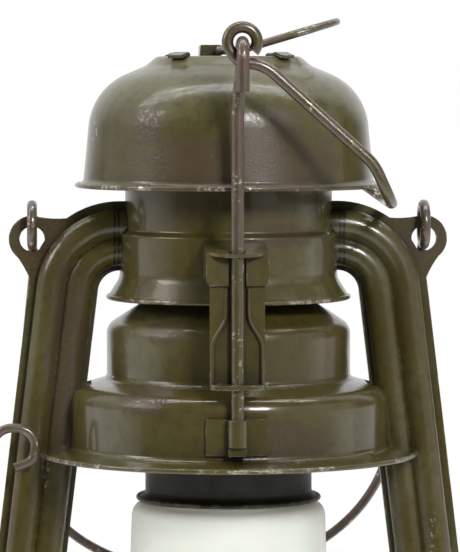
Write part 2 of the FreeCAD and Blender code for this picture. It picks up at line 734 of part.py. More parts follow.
def make_burner():
    low = size.fount_height
    plate = low + size.drum_height + 2.6
    neck = size.wick_width / 2 + 6
    collar = turned_body("burner_collar", [
        (neck, low - 3), (neck + 2, low - 3), (neck + 2, low), (neck + 4.5, low),
        (neck + 4.5, low + 1.4), (neck + 2, low + 1.4, 0.6), (neck + 2, low + 4), (neck, low + 4),
    ])
    keep(collar, "burner_collar")
    body = turned_body("burner_body", [
        (0, low + 4), (neck + 2, low + 4), (neck + 2, low + 5.5), (neck - 1, low + 6.5, 1.5),
        (neck - 2.5, plate - 5, 3), (size.stage_hole - 0.8, plate - 1),
        (size.stage_hole - 0.8, plate), (0, plate),
    ])
    hole = 1.3
    ring_of_pockets(body, "air_holes", [
        (13, -hole), (13 + 2 * hole, -hole), (13 + 2 * hole, hole), (13, hole),
    ], 20, plate + 1, 2.4)
    body.Placement = FreeCAD.Placement()
    wheels_room = cylinder("spur_room", size.spur_radius + 0.8, size.wick_width + 2,
                           (spindle_side(), -(size.wick_width / 2 + 1), size.spindle_height),
                           FRONT_BACK)
    spindle_room = cylinder("spindle_room", size.spindle_radius + size.fit, 40,
                            (spindle_side(), -40, size.spindle_height), FRONT_BACK)
    half_across = size.wick_width / 2 + size.wick_play + size.gauge
    half_deep = size.wick_gauge / 2 + size.wick_play + size.gauge
    tube_room = box("wick_tube_room", (-half_deep, -half_across, low - 5),
                    (half_deep, half_across, plate + 5))
    keep(cut("burner_body_cut", body, tube_room, wheels_room, spindle_room), "burner_body")
    outer = box("wick_tube_outer", (-half_deep, -half_across, low - 4),
                (half_deep, half_across, size.wick_top - 2.5))
    inner = box("wick_tube_inner", (size.gauge - half_deep, size.gauge - half_across, low - 10),
                (half_deep - size.gauge, half_across - size.gauge, size.wick_top + 5))
    window = box("wick_tube_window",
                 (0, -(size.wick_width / 2 - 1), size.spindle_height - size.spur_radius),
                 (half_deep + 1, size.wick_width / 2 - 1, size.spindle_height + size.spur_radius))
    keep(cut("wick_tube_cut", outer, inner, window), "wick_tube")
    cone = spun_shell("burner_cone", [
        (size.stage_hole - 1.6, plate),
        (size.stage_hole - 1.6, plate + 4, 3),
        (size.wick_width / 2 + 7, plate + 12, 9),
        (size.wick_width / 2 - 2, size.wick_top + 7, 3),
        (0, size.wick_top + 7.4),
    ], size.gauge, side=1)
    slot = box("flame_slot", (-3.2, -(size.wick_width / 2 + 2), plate + 8),
               (3.2, size.wick_width / 2 + 2, size.wick_top + 14))
    keep(cut("burner_cone_cut", cone, slot), "burner_cone")


def make_wick():
    wick = box("wick_strip",
               (-(size.wick_gauge / 2), -(size.wick_width / 2), size.wick_low),
               (size.wick_gauge / 2, size.wick_width / 2, size.wick_top))
    keep(wick, "wick")
    front = -(size.knob_reach - 3)
    spindle = cylinder("spindle_rod", size.spindle_radius, size.wick_width / 2 + 1 - front,
                       (spindle_side(), front, size.spindle_height), FRONT_BACK)
    keep(spindle, "wick_spindle")
    keep(make_spur_wheels(), "spur_wheels")
    keep(make_wick_knob(), "wick_knob")


def make_spur_wheels():
    """Two toothed wheels, side by side on the spindle, whose points grip the wick."""
    points = []
    tip, root = mm.spur_radius, mm.spur_radius - 0.9
    for number in range(2 * TEETH):
        angle = math.pi * (number + 0.5) / TEETH
        radius = tip if number % 2 == 0 else root
        points.append(FreeCAD.Vector(radius * math.cos(angle), 0, radius * math.sin(angle)))
    face = Part.Face(Part.makePolygon(points + points[:1]))
    wheel = face.extrude(FreeCAD.Vector(0, 0.8, 0))
    wheel = wheel.cut(Part.makeCylinder(mm.spindle_radius, 4, FreeCAD.Vector(0, -1, 0), FRONT_BACK))
    side, height = mm.wick_gauge / 2 + mm.wick_play + mm.spur_radius, mm.spindle_height
    wheels = [wheel.translated(FreeCAD.Vector(side, y, height)) for y in (-3.4, 2.6)]
    feature = doc.addObject("Part::Feature", "spur_wheels_pair")
    feature.Shape = Part.Compound(wheels)
    return feature


def make_wick_knob():
    """A milled disc on the spindle's outer end."""
    body = new_body("wick_knob")
    sketch = body_sketch(body, "knob_side", "XZ_Plane", [
        (0, 0), (size.knob_radius - 1.2, 0), (size.knob_radius, 0.6), (size.knob_radius, 2.4),
        (size.knob_radius - 0.8, 3.0, 0.5), (3.4, 3.0, 0.5), (3.0, 5.2, 0.6), (0, 5.2),
    ])
    turned = body.newObject("PartDesign::Revolution", "knob_turned")
    turned.Profile = sketch
    turned.ReferenceAxis = (sketch, ["V_Axis"])
    turned.Angle = 360
    doc.recompute()
    edge = size.knob_radius - 0.5
    ring_of_pockets(body, "knob_milling", [
        (edge, 0), (edge + 1.2, -0.7), (edge + 1.2, 0.7),
    ], 24, 4, 5)
    body.Placement = FreeCAD.Placement(
        FreeCAD.Vector(spindle_side().value, -mm.knob_reach, mm.spindle_height),
        FreeCAD.Rotation(SIDEWAYS, -90),
    )
    socket = cylinder("knob_socket", size.spindle_radius, 12,
                      (spindle_side(), -(size.knob_reach - 3), size.spindle_height), FRONT_BACK)
    return cut("wick_knob_cut", body, socket)


# Side tubes

def tube_section():
    """Half of a side tube's section, one pressed half: u runs out from the middle line."""
    edge, wall, rise = mm.tube_width / 2, mm.gauge, mm.tube_depth
    outer_root, inner_root = edge - mm.seam_outer, -(edge - mm.seam_inner)
    groove = -0.2

    def line(start, end):
        return Part.LineSegment(FreeCAD.Vector(*start, 0), FreeCAD.Vector(*end, 0)).toShape()

    def arc(start, through, end):
        return Part.Arc(*[FreeCAD.Vector(*p, 0) for p in (start, through, end)]).toShape()

    flute_low, flute_in = rise - 1.1, rise - 1.9
    outside = [
        line((edge, 0), (edge, wall)),
        line((edge, wall), (outer_root, wall)),
        arc((outer_root, wall), (outer_root - 2.6, rise), (groove + 0.5, flute_low)),
        line((groove + 0.5, flute_low), (groove - 0.4, flute_in)),
        arc((groove - 0.4, flute_in), (inner_root + 3.1, rise - 0.6), (inner_root, wall)),
        line((inner_root, wall), (-edge, wall)),
        line((-edge, wall), (-edge, 0)),
    ]
    inside = [
        line((-edge, 0), (inner_root + wall, 0)),
        arc((inner_root + wall, 0), (inner_root + 3.3, rise - 0.6 - wall),
            (groove - 0.5, flute_in - wall)),
        line((groove - 0.5, flute_in - wall), (groove + 0.6, flute_low - wall)),
        arc((groove + 0.6, flute_low - wall), (outer_root - 2.8, rise - wall),
            (outer_root - wall, 0)),
        line((outer_root - wall, 0), (edge, 0)),
    ]
    return Part.Face(Part.Wire(outside + inside))


def tube_centre_line():
    """Key points of the side tube's middle line, in the X-Z plane of the right tube."""
    bend, lean = mm.tube_bend, math.radians(mm.tube_flare)
    top = FreeCAD.Vector(mm.crown_radius, 0, mm.tube_top_height)
    top_middle = top - UP * bend
    top_end = top_middle + FreeCAD.Vector(math.cos(lean), 0, math.sin(lean)) * bend
    down = FreeCAD.Vector(math.sin(lean), 0, -math.cos(lean))
    drop = top_end.z - (mm.tube_low_height + bend + bend * math.sin(lean))
    low_start = top_end + down * (drop / math.cos(lean))
    low_middle = low_start - FreeCAD.Vector(math.cos(lean), 0, math.sin(lean)) * bend
    return top, top_middle, top_end, low_start, low_middle


def ear_plate():
    """One sheet of the ear on the outer seam, with the eyelet for the carrying bail."""
    hole = FreeCAD.Vector(mm.ear_reach, 0, mm.ear_height)
    outer = mm.ear_hole + mm.ear_rim
    disc = Part.Face(Part.Wire(Part.makeCircle(outer, hole, FRONT_BACK)))
    _, middle, _, _, _ = tube_centre_line()
    reach = mm.tube_bend + mm.tube_width / 2 - mm.seam_outer / 2

    def on_bend(degrees):
        angle = math.radians(degrees)
        return middle + FreeCAD.Vector(math.cos(angle), 0, math.sin(angle)) * reach

    high, low = on_bend(62), on_bend(2)
    top = hole + FreeCAD.Vector(-0.6, 0, outer * 0.995)
    side = hole + FreeCAD.Vector(outer * 0.88, 0, -outer * 0.475)
    top_dip = (high + top) * 0.5 - UP * 0.7
    side_dip = (low + side) * 0.5 - SIDEWAYS * 0.8
    web = Part.Face(Part.Wire([
        Part.Arc(high, top_dip, top).toShape(),
        Part.LineSegment(top, side).toShape(),
        Part.Arc(side, side_dip, low).toShape(),
        Part.LineSegment(low, high).toShape(),
    ]))
    plate = disc.fuse(web).extrude(FRONT_BACK * mm.gauge)
    eyelet = Part.makeCylinder(mm.ear_hole, 4, hole - FRONT_BACK, FRONT_BACK)
    return plate.cut(eyelet)


def tube_half():
    """The rear pressed half of the right tube, from the crown to the air drum."""
    top, top_middle, top_end, low_start, low_middle = tube_centre_line()
    face = tube_section()
    # The section's u axis is set along +Z and its v axis along +Y, where the path starts
    to_start = FreeCAD.Placement(
        top, FreeCAD.Rotation(UP, FRONT_BACK, SIDEWAYS * -1, "XYZ")
    )
    face.Placement = to_start
    turn = 90 - mm.tube_flare
    mouth = face.extrude(SIDEWAYS * -3)
    upper = face.revolve(top_middle, FRONT_BACK, turn)
    face.rotate(top_middle, FRONT_BACK, turn)
    middle = face.extrude(low_start - top_end)
    face.translate(low_start - top_end)
    lower = face.revolve(low_middle, FRONT_BACK, 90 + mm.tube_flare)
    face.rotate(low_middle, FRONT_BACK, 90 + mm.tube_flare)
    inward = low_middle.x - mm.drum_radius + 2
    last = face.extrude(SIDEWAYS * -inward)
    whole = upper.multiFuse([mouth, middle, lower, last, ear_plate()]).removeSplitter()
    drum = Part.makeCylinder(mm.drum_radius, 80, UP * 10)
    step = mm.crown_step - 1.1
    crown = Part.makeCylinder(mm.crown_radius, 40, UP * (step - 40))
    cone = Part.makeCone(mm.crown_radius, mm.crown_neck, 1.1, UP * step)
    neck = Part.makeCylinder(mm.crown_neck, 30, UP * mm.crown_step)
    return whole.cut(drum).cut(crown.multiFuse([cone, neck]))


def make_side_tubes():
    right_rear = tube_half()
    right_front = right_rear.mirror(ORIGIN, FRONT_BACK)
    for label, shape in (
        ("right_tube_rear", right_rear),
        ("right_tube_front", right_front),
        ("left_tube_rear", right_rear.mirror(ORIGIN, SIDEWAYS)),
        ("left_tube_front", right_front.mirror(ORIGIN, SIDEWAYS)),
    ):
        feature = doc.addObject("Part::Feature", label + "_pressing")
        feature.Shape = shape
        keep(feature, label)


# Crown chamber, flue and hood

def make_crown():
    neck_hole = size.flue_radius
    chamber = spun_shell("crown_chamber", [
        (neck_hole + size.gauge, size.crown_top + 3),
        (neck_hole + size.gauge, size.crown_top, 0.8),
        (size.crown_neck, size.crown_top, 2.2),
        (size.crown_neck, size.crown_step, 0.8),
        (size.crown_radius, size.crown_step - 1.1, 0.8),
        (size.crown_radius, size.crown_flare, 4.5),
        (size.crown_skirt, size.crown_bottom),
    ], size.gauge)
    rolled = torus("crown_edge", size.crown_skirt - size.gauge / 2, size.bead, size.crown_bottom)
    mouth = tube_mouth("crown_mouth", size.tube_width - size.seam_outer - size.seam_inner,
                       size.tube_top_height, size.crown_radius)
    keep(cut("crown_chamber_cut", fuse("crown_chamber_whole", chamber, rolled), mouth),
         "crown_chamber")
    flue = turned_body("flue_tube", [
        (size.flue_radius - size.gauge, size.flue_bottom), (size.flue_radius, size.flue_bottom),
        (size.flue_radius, size.flue_top), (size.flue_radius - size.gauge, size.flue_top),
    ])
    keep(flue, "flue_tube")


def make_hood():
    shell = spun_shell("hood", [
        (0, size.hood_crown),
        (size.hood_plateau, size.hood_crown, 2.0),
        (size.hood_plateau + STEP_WIDTH, size.hood_crown - STEP_FALL, 4.0),
        (size.hood_radius - SLOPE_INSET, size.hood_crown - SLOPE_FALL, 16),
        (size.hood_radius, size.hood_low + 1.2, 1.2),
        (size.hood_lip - size.bead, size.hood_low),
    ], size.gauge)
    rolled = torus("hood_edge", size.hood_lip - size.bead, size.bead, size.hood_low)
    whole = fuse("hood_whole", shell, rolled)
    slot = Part.makeBox(
        mm.strap_gauge + 0.3, mm.tab_width + 0.3, 12,
        FreeCAD.Vector(mm.tab_reach - 0.15, -mm.tab_width / 2 - 0.15, mm.hood_crown - 8),
    )
    slots = doc.addObject("Part::Feature", "hood_slots")
    slots.Shape = Part.Compound([slot.rotated(ORIGIN, UP, 45 + 90 * n) for n in range(4)])
    keep(cut("hood_cut", whole, slots), "hood")


def make_spider():
    """Four legs from a ring on the flue to tabs that are folded over the hood's flat top."""
    ring_low = mm.crown_top + 3.1
    ring = Part.makeCylinder(mm.tab_reach + mm.strap_gauge, mm.strap_gauge, UP * ring_low)
    ring = ring.cut(Part.makeCylinder(mm.flue_radius, 5, UP * (ring_low - 1)))
    reach, wall, half = mm.tab_reach, mm.strap_gauge, mm.tab_width / 2
    tip = reach + mm.tab_fold
    rise = mm.hood_crown + 0.25
    end = rise - 0.85
    profile = [(reach, ring_low), (reach + wall, ring_low), (reach + wall, rise),
               (tip, end), (tip + 0.3, end + wall), (reach + wall, rise + wall),
               (reach, rise + wall / 2)]
    points = [FreeCAD.Vector(x, -half, z) for x, z in profile]
    leg = Part.Face(Part.makePolygon(points + points[:1])).extrude(FRONT_BACK * 2 * half)
    legs = [leg.rotated(ORIGIN, UP, 45 + 90 * n) for n in range(4)]
    feature = doc.addObject("Part::Feature", "hood_spider_legs")
    feature.Shape = ring.multiFuse(legs).removeSplitter()
    keep(feature, "hood_spider")


def ring_axis_height():
    return mm.hood_crown + mm.ring_lift


def make_ring_strap():
    """A strap folded over the hood ring's straight side and fixed to the hood's flat top."""
    axis = FreeCAD.Vector(mm.ring_place, 0, ring_axis_height())
    bore = mm.ring_wire + 0.1
    outer = mm.ring_lift - 0.05
    length = mm.strap_length
    start = axis - FRONT_BACK * (length / 2)
    sleeve = Part.makeCylinder(outer, length, start, FRONT_BACK)
    tail = Part.makeBox(mm.strap_tail, length, 2 * outer,
                        FreeCAD.Vector(axis.x - mm.strap_tail, start.y, axis.z - outer))
    tail = tail.makeFillet(0.6, [e for e in tail.Edges if is_upper_left(e, tail)])
    drill = Part.makeCylinder(bore, length + 4, start - FRONT_BACK * 2, FRONT_BACK)
    feature = doc.addObject("Part::Feature", "ring_strap_folded")
    feature.Shape = sleeve.fuse(tail).cut(drill).removeSplitter()
    keep(feature, "ring_strap")


def is_upper_left(edge, box_):
    """True for the edge along a box's upper left side."""
    low, high = edge.BoundBox, box_.BoundBox
    return low.YLength > 0.1 and abs(low.XMax - high.XMin) < 1e-6 and abs(low.ZMin - high.ZMax) < 1e-6


def make_hood_ring():
    """The finger ring: a straight side in the strap, a low part and a raised round end."""
    half, kink = mm.ring_width / 2, mm.ring_kink
    tilt = math.radians(mm.ring_tilt)
    axis = FreeCAD.Vector(mm.ring_place, 0, ring_axis_height())
    rising = FreeCAD.Vector(math.cos(tilt), 0, math.sin(tilt))
    bend = axis + SIDEWAYS * kink
    rest = mm.ring_reach - kink
    far = bend + rising * (rest - half)
    tip = bend + rising * rest
    side = FRONT_BACK * half
    legs = []
    for hand in (-1, 1):
        points = [axis, axis + side * hand, bend + side * hand, far + side * hand]
        legs.append(bent_path(points, [3.0, 6.0]))
    round_end = Part.Arc(far - side, tip, far + side).toShape()
    wire_piece("hood_ring", drawn_wire(legs[0] + [round_end] + legs[1][::-1], mm.ring_wire))


# Storm cap with its collar, rods and lift bail

def tube_notches():
    """Room in the storm cap for both side tubes, over the whole lift."""
    _, _, top_end, low_start, _ = tube_centre_line()
    slope = (low_start.x - top_end.x) / (top_end.z - low_start.z)
    across = mm.tube_width / 2 / math.cos(math.radians(mm.tube_flare))
    room = mm.fit + 0.1 + slope * mm.lift_travel
    high, low = top_end.z, mm.flange_height - 12

    def inner_edge(height):
        return top_end.x + slope * (top_end.z - height) - across - room

    half = mm.tube_depth + mm.fit + 0.15
    corners = [(inner_edge(high), high), (inner_edge(low), low), (90, low), (90, high)]
    points = [FreeCAD.Vector(x, -half, z) for x, z in corners]
    notch = Part.Face(Part.makePolygon(points + points[:1])).extrude(FRONT_BACK * 2 * half)
    return Part.Compound([notch, notch.mirror(ORIGIN, SIDEWAYS)])


def make_storm_cap():
    neck = size.flue_radius + size.fit + 2 * size.gauge
    shell = spun_shell("storm_cap", [
        (neck, size.cap_neck_top),
        (neck, size.cap_shoulder + (size.cap_radius - neck) * 0.65, 1.5),
        (size.cap_radius, size.cap_shoulder, 4),
        (size.cap_radius, size.bell_shoulder + 2.8, 1.6),
        (size.bell_radius, size.bell_shoulder, 4.2),
        (size.bell_radius, size.flange_height + 1.6, 1.4),
        (size.flange_radius - size.bead, size.flange_height),
    ], size.gauge)
    rolled = torus("flange_edge", size.flange_radius - size.bead, size.bead, size.flange_height)
    notches = doc.addObject("Part::Feature", "tube_notches")
    notches.Shape = tube_notches()
    keep(cut("storm_cap_cut", fuse("storm_cap_whole", shell, rolled), notches), "storm_cap")
    slide = neck - size.gauge
    collar = spun_shell("globe_collar", [
        (slide, size.cap_neck_top - 1),
        (slide, size.cap_shoulder - 6, 3),
        (size.collar_radius, size.bell_shoulder - 2, 3),
        (size.collar_radius, size.collar_low + 2.2, 1.2),
        (size.collar_lip - size.bead, size.collar_low + size.bead),
    ], size.gauge)
    lip = torus("collar_edge", size.collar_lip - size.bead, size.bead, size.collar_low + size.bead)
    keep(fuse("globe_collar_whole", collar, lip), "globe_collar")


def curved_plate(inner, wall, width, low, high):
    """A patch of a tube about the vertical axis, on the front side."""
    ring = Part.makeCylinder(inner + wall, high - low, UP * low)
    ring = ring.cut(Part.makeCylinder(inner, high - low, UP * low))
    window = Part.makeBox(width, 60, high - low, FreeCAD.Vector(-width / 2, -60, low))
    return ring.common(window)


def rod_guide():
    """The front guide: a box on the crown's wall, and a strap with two plates for the rod."""
    wall, half, wing = mm.strap_gauge, mm.bracket_width / 2, mm.bracket_wing / 2
    stand_off = mm.bell_radius + mm.fit
    front = mm.rod_reach + mm.rod_radius + 1.3
    top, low = mm.bracket_top, mm.bracket_low
    foot = top - mm.wing_height
    strap = Part.makeBox(2 * half, wall, top - low, FreeCAD.Vector(-half, -stand_off - wall, low))
    plate = Part.makeBox(2 * wing, wall, top - foot + 1.4,
                         FreeCAD.Vector(-wing, -stand_off - 2 * wall, foot - 1.4))
    corners = [e for e in plate.Edges if is_lower_corner(e, foot - 1.4)]
    plate = plate.makeFillet(1.5, corners)
    webs = [
        Part.makeBox(wall, stand_off + wall - mm.crown_radius + 2, top - foot,
                     FreeCAD.Vector(x, -stand_off - wall, foot))
        for x in (-wing, wing - wall)
    ]
    # The upper plate leans forward and its front is round
    hinge = FreeCAD.Vector(0, -mm.crown_radius, top)
    roof = Part.makeBox(2 * wing, front - wing - mm.crown_radius + 2, wall,
                        FreeCAD.Vector(-wing, wing - front, top - wall))
    nose = Part.makeCylinder(wing, wall, FreeCAD.Vector(0, wing - front, top - wall))
    roof = roof.fuse(nose).removeSplitter()
    roof.rotate(hinge, SIDEWAYS, mm.roof_lean)
    above = Part.makeBox(80, 80, 20, FreeCAD.Vector(-40, -40 - front, 0))
    above.translate(UP * top)
    above.rotate(hinge, SIDEWAYS, mm.roof_lean)
    low_plate = Part.makeBox(2 * half, front - stand_off, wall + 0.4,
                             FreeCAD.Vector(-half, -front, low - 0.4))
    low_plate = low_plate.makeFillet(3.4, [e for e in low_plate.Edges if is_front_post(e, front)])
    body = strap.multiFuse([plate, *webs]).cut(above).multiFuse([roof, low_plate])
    body = body.cut(Part.makeCylinder(mm.crown_radius, 60, UP * (top - 30)))
    hole = Part.makeCylinder(mm.rod_radius + mm.rod_play, top - low + 10,
                             FreeCAD.Vector(0, -mm.rod_reach, low - 5))
    return body.cut(hole).cut(bottle_recess(stand_off + 2 * wall)).removeSplitter()


def is_lower_corner(edge, height):
    """True for an edge from front to back at the foot of a plate."""
    box_ = edge.BoundBox
    return box_.YLength > 0.1 and box_.XLength < 1e-6 and abs(box_.ZMax - height) < 1e-6


def is_front_post(edge, front):
    """True for a vertical edge on a plate's front corners."""
    box_ = edge.BoundBox
    return box_.ZLength > 0.1 and box_.XLength < 1e-6 and abs(box_.YMax + front) < 1e-6


def bottle_recess(face):
    """The bottle-shaped sinking behind the rod, open at the lower plate."""
    depth = mm.strap_gauge + 0.4
    low = mm.bracket_low + mm.strap_gauge
    wide, narrow = mm.bracket_width / 2 - 1.1, mm.rod_radius + 0.6
    neck, shoulder, top = low + 16.5, low + 10.5, mm.bracket_top - mm.strap_gauge
    y = -face
    half = [(wide, low), (wide, shoulder), (narrow, neck), (narrow, top)]
    points = [FreeCAD.Vector(x, y, z) for x, z in half]
    points += [FreeCAD.Vector(-x, y, z) for x, z in reversed(half)]
    edges = bent_path(points, [4.0, 6.0, 0.8, 0.8, 6.0, 4.0])
    edges.append(Part.LineSegment(points[-1], points[0]).toShape())
    return Part.Face(Part.Wire(edges)).extrude(FRONT_BACK * depth)


def rod_clip():
    """The front clip: a plate on the storm cap's wall with a sleeve round the rod's end."""
    wall = mm.strap_gauge
    plate = curved_plate(mm.bell_radius, wall, mm.clip_width, mm.clip_low, mm.clip_top)
    height = mm.clip_top - mm.rod_low
    sleeve_radius = mm.rod_radius + wall
    sleeve = Part.makeCylinder(sleeve_radius, height, FreeCAD.Vector(0, -mm.rod_reach, mm.rod_low))
    web = Part.makeBox(2 * sleeve_radius, mm.rod_reach - mm.bell_radius, height,
                       FreeCAD.Vector(-sleeve_radius, -mm.rod_reach, mm.rod_low))
    bore = Part.makeCylinder(mm.rod_radius, 20, FreeCAD.Vector(0, -mm.rod_reach, mm.rod_low))
    tongue = Part.makeBox(4.6, mm.rod_reach + 0.8 - mm.bell_radius, mm.rod_low - mm.clip_low - 0.4,
                          FreeCAD.Vector(-2.3, -mm.rod_reach - 0.8, mm.clip_low + 0.2))
    wall_side = Part.makeCylinder(mm.bell_radius, 40, UP * (mm.clip_low - 10))
    return plate.multiFuse([sleeve, web, tongue]).cut(bore).cut(wall_side).removeSplitter()


def hook_radius():
    """Middle line of the rod's hook, which goes round the lift bail's eye."""
    return mm.lift_wire + mm.hook_gap + mm.rod_radius


def lift_rod(eye):
    """A lift rod on the eye's side: straight through its guide, then hooked through the eye."""
    hand = math.copysign(1, eye.y)
    bend = hook_radius()
    outward = FRONT_BACK * hand * bend
    foot = FreeCAD.Vector(0, hand * mm.rod_reach, mm.rod_low)
    crest = eye - UP * 0.1
    turn = crest - outward - UP * bend
    down = turn + outward * 2
    lean = [
        foot,
        FreeCAD.Vector(0, foot.y, turn.z - 13),
        FreeCAD.Vector(turn.x, foot.y, turn.z - 3),
        turn,
    ]
    edges = bent_path(lean, [20.0, 20.0])
    edges.append(Part.Arc(turn, crest, down).toShape())
    edges.append(Part.LineSegment(down, down - UP * (down.z - eye.z + mm.tail_drop)).toShape())
    return drawn_wire(edges, mm.rod_radius)


def eye_centre(hand):
    """Middle of the lift bail's eye in front, where hand is -1, or behind."""
    drop = mm.rear_drop if hand > 0 else 0
    return FreeCAD.Vector(mm.eye_side, hand * (mm.rod_reach + hook_radius()),
                          mm.eye_height - drop)


def make_lift_gear():
    """Guides, clips and rods, front and rear; the rear rod is shorter."""
    for name, hand, turn in (("front", -1, FreeCAD.Placement()), ("rear", 1, HALF_TURN)):
        for label, shape, place in (
            ("rod_guide_" + name, rod_guide(), turn),
            ("rod_clip_" + name, rod_clip(), turn),
            ("lift_rod_" + name, lift_rod(eye_centre(hand)), FreeCAD.Placement()),
        ):
            feature = doc.addObject("Part::Feature", label + "_made")
            feature.Shape = shape
            feature.Placement = place
            keep(feature, label)


def bail_eye(hand):
    """The open eye as an arc, and the point and direction in which the leg leaves it."""
    centre = eye_centre(hand)

    def on_eye(degrees):
        angle = math.radians(degrees)
        return centre + FreeCAD.Vector(math.cos(angle), 0, math.sin(angle)) * mm.eye_radius

    arc = Part.Arc(on_eye(EYE_END), on_eye((EYE_END + EYE_LEAVE) / 2), on_eye(EYE_LEAVE)).toShape()
    angle = math.radians(EYE_LEAVE)
    return arc, on_eye(EYE_LEAVE), FreeCAD.Vector(-math.sin(angle), 0, math.cos(angle))


def make_lift_bail():
    """A wire bail from eye to eye round the right side of the hood, at rest on the tube."""
    far = FreeCAD.Vector(mm.lift_reach, 0, mm.lift_low)
    plane = mm.rod_reach + hook_radius()
    front_drop = far + FreeCAD.Vector(-8.4, -plane, 10.9)
    front_corner = far + FreeCAD.Vector(-4.0, -plane, 1.3)
    rear_corner = far + FreeCAD.Vector(4.0, plane, -1.3)
    ends = []
    for hand in (-1, 1):
        arc, start, direction = bail_eye(hand)
        below = start + direction * (mm.eye_radius * 0.82)
        knee = eye_centre(hand) + SIDEWAYS * 5.95 - UP * 6.04
        ends.append((arc, [start, below, knee]))
    (front_eye, front), (rear_eye, rear) = ends
    points = front + [front_drop, front_corner, rear_corner] + rear[::-1]
    edges = bent_path(points, [3.6, 10.0, 12.0, 8.0, 8.0, 10.0, 3.6])
    wire_piece("lift_bail", drawn_wire([front_eye] + edges + [rear_eye], mm.lift_wire))


# Globe and the plate that carries it

def make_globe():
    globe = spun_shell("globe", [
        (size.globe_neck, size.globe_top),
        (size.globe_neck, size.collar_low - size.fit, 1.0),
        (size.globe_radius, size.collar_low - size.fit, 3.8),
        (size.globe_belly, (size.collar_low + size.globe_low) / 2, 900),
        (size.globe_foot, size.globe_low + 3, 8),
        (size.globe_foot, size.globe_low),
    ], size.glass)
    keep(globe, "globe")


def make_stage():
    low = size.stage_low
    wall = size.strap_gauge
    seat = size.globe_foot
    plate = turned_body("globe_plate", [
        (size.stage_hole, low - 1.2), (size.stage_hole + wall, low - 1.2),
        (size.stage_hole + wall, low),
        (size.stage_radius, low), (size.stage_radius, low + 2.2),
        (size.stage_radius - wall, low + 2.2), (size.stage_radius - wall, low + wall),
        (size.stage_hole, low + wall),
    ])
    ring_of_pockets(plate, "plate_air", [
        (seat + 4.2, -0.9), (seat + 6.4, -0.9), (seat + 6.4, 0.9), (seat + 4.2, 0.9),
    ], 30, low + 3, 5)
    keep(plate, "globe_plate")
    ring = turned_body("globe_gallery", [
        (seat + size.fit, low + wall), (seat + 3.2, low + wall), (seat + 3.2, low + wall * 2),
        (seat + size.fit + wall, low + wall * 2), (seat + size.fit + wall, low + 5.4),
        (seat + size.fit, low + 5.4),
    ])
    ring_of_pockets(ring, "gallery_notch", [
        (seat - 1, -1.4), (seat + 4, -1.4), (seat + 4, 1.4), (seat - 1, 1.4),
    ], 12, low + 7, 4.6)
    keep(ring, "globe_gallery")


def make_lever():
    """The globe lever: thumb curl, long arm outside the left tube, axle and prong."""
    plane, axis_x, axis_z = -mm.lever_plane, -mm.lever_axis, mm.lever_height
    curl_z, half = mm.curl_height, mm.curl_span / 2
    arm_top = FreeCAD.Vector(-mm.lever_top, plane, curl_z)
    right = FreeCAD.Vector(arm_top.x + 2 * half, plane, curl_z + 1.2)
    under = FreeCAD.Vector(right.x - 1.8, plane, curl_z - 2.6)
    end = FreeCAD.Vector(under.x - 4.6, plane, curl_z - 4.4)
    knee = FreeCAD.Vector(-mm.lever_out, plane, axis_z + 2.5)
    axle_front = FreeCAD.Vector(axis_x, plane, axis_z)
    axle_back = FreeCAD.Vector(axis_x, -plane, axis_z)
    prong = FreeCAD.Vector(axis_x + mm.lever_prong, -plane, axis_z)
    corner = FreeCAD.Vector(arm_top.x + 0.6, plane, curl_z + 6.2)
    points = [prong, axle_back, axle_front, knee, corner, right + UP * 4.4, under, end]
    edges = bent_path(points, [2.4, 2.4, 6.0, 5.4, 4.6, 3.0])
    wire_piece("globe_lever", drawn_wire(edges, mm.lever_wire))


def make_lever_bracket():
    """A saddle on the left tube's lower end, with two ears for the lever's axle."""
    wall, ear = mm.strap_gauge, mm.lever_plane - 2.6
    inner, outer = -(mm.drum_radius + 0.2), -(mm.lever_axis + 2.4)
    floor = mm.tube_low_height + mm.tube_width / 2
    saddle = Part.makeBox(inner - outer, 2 * ear, wall, FreeCAD.Vector(outer, -ear, floor))
    ears = [
        Part.makeBox(inner - outer, wall, mm.lever_height + 2.6 - floor,
                     FreeCAD.Vector(outer, y, floor))
        for y in (-ear, ear - wall)
    ]
    drill = Part.makeCylinder(mm.lever_wire + 0.25, 40,
                              FreeCAD.Vector(-mm.lever_axis, -20, mm.lever_height), FRONT_BACK)
    drum = Part.makeCylinder(mm.drum_radius + 0.1, 60, UP * 20)
    shape = saddle.multiFuse(ears).cut(drill).cut(drum).removeSplitter()
    feature = doc.addObject("Part::Feature", "lever_bracket_folded")
    feature.Shape = shape
    keep(feature, "lever_bracket")


def make_carry_bail():
    """The carrying bail: an eye through each ear, two legs and a round grip, bent askew."""
    axis_height = mm.ear_height + mm.bail_rise
    lean = math.radians(mm.bail_lean)
    down = FreeCAD.Vector(0, math.sin(lean), -math.cos(lean))
    half, length, skew = mm.ear_reach, mm.bail_length, -mm.bail_skew
    centre = FreeCAD.Vector(0, 0, axis_height)

    def at(x, along):
        return centre + SIDEWAYS * x + down * along

    grip_radius = 50.0
    points = [
        at(half, mm.bail_eye), at(half - 0.5, 12), at(half + skew * 0.9, length * 0.55),
        at(half * 0.93 + skew, length * 1.0), at(-half * 0.93 + skew, length * 1.0),
        at(-half + skew * 0.7, length * 0.55), at(0.5 - half, 12), at(-half, mm.bail_eye),
    ]
    edges = bent_path(points, [30.0, 60.0, grip_radius * 0.92, grip_radius * 0.92, 60.0, 30.0])
    rod = drawn_wire(edges, mm.bail_wire * WIRE_SHARE)
    eyes = [
        Part.makeTorus(mm.bail_eye, mm.bail_wire, FreeCAD.Vector(x, 0, axis_height), SIDEWAYS)
        for x in (-half, half)
    ]
    wire_piece("carry_bail", rod.multiFuse(eyes))


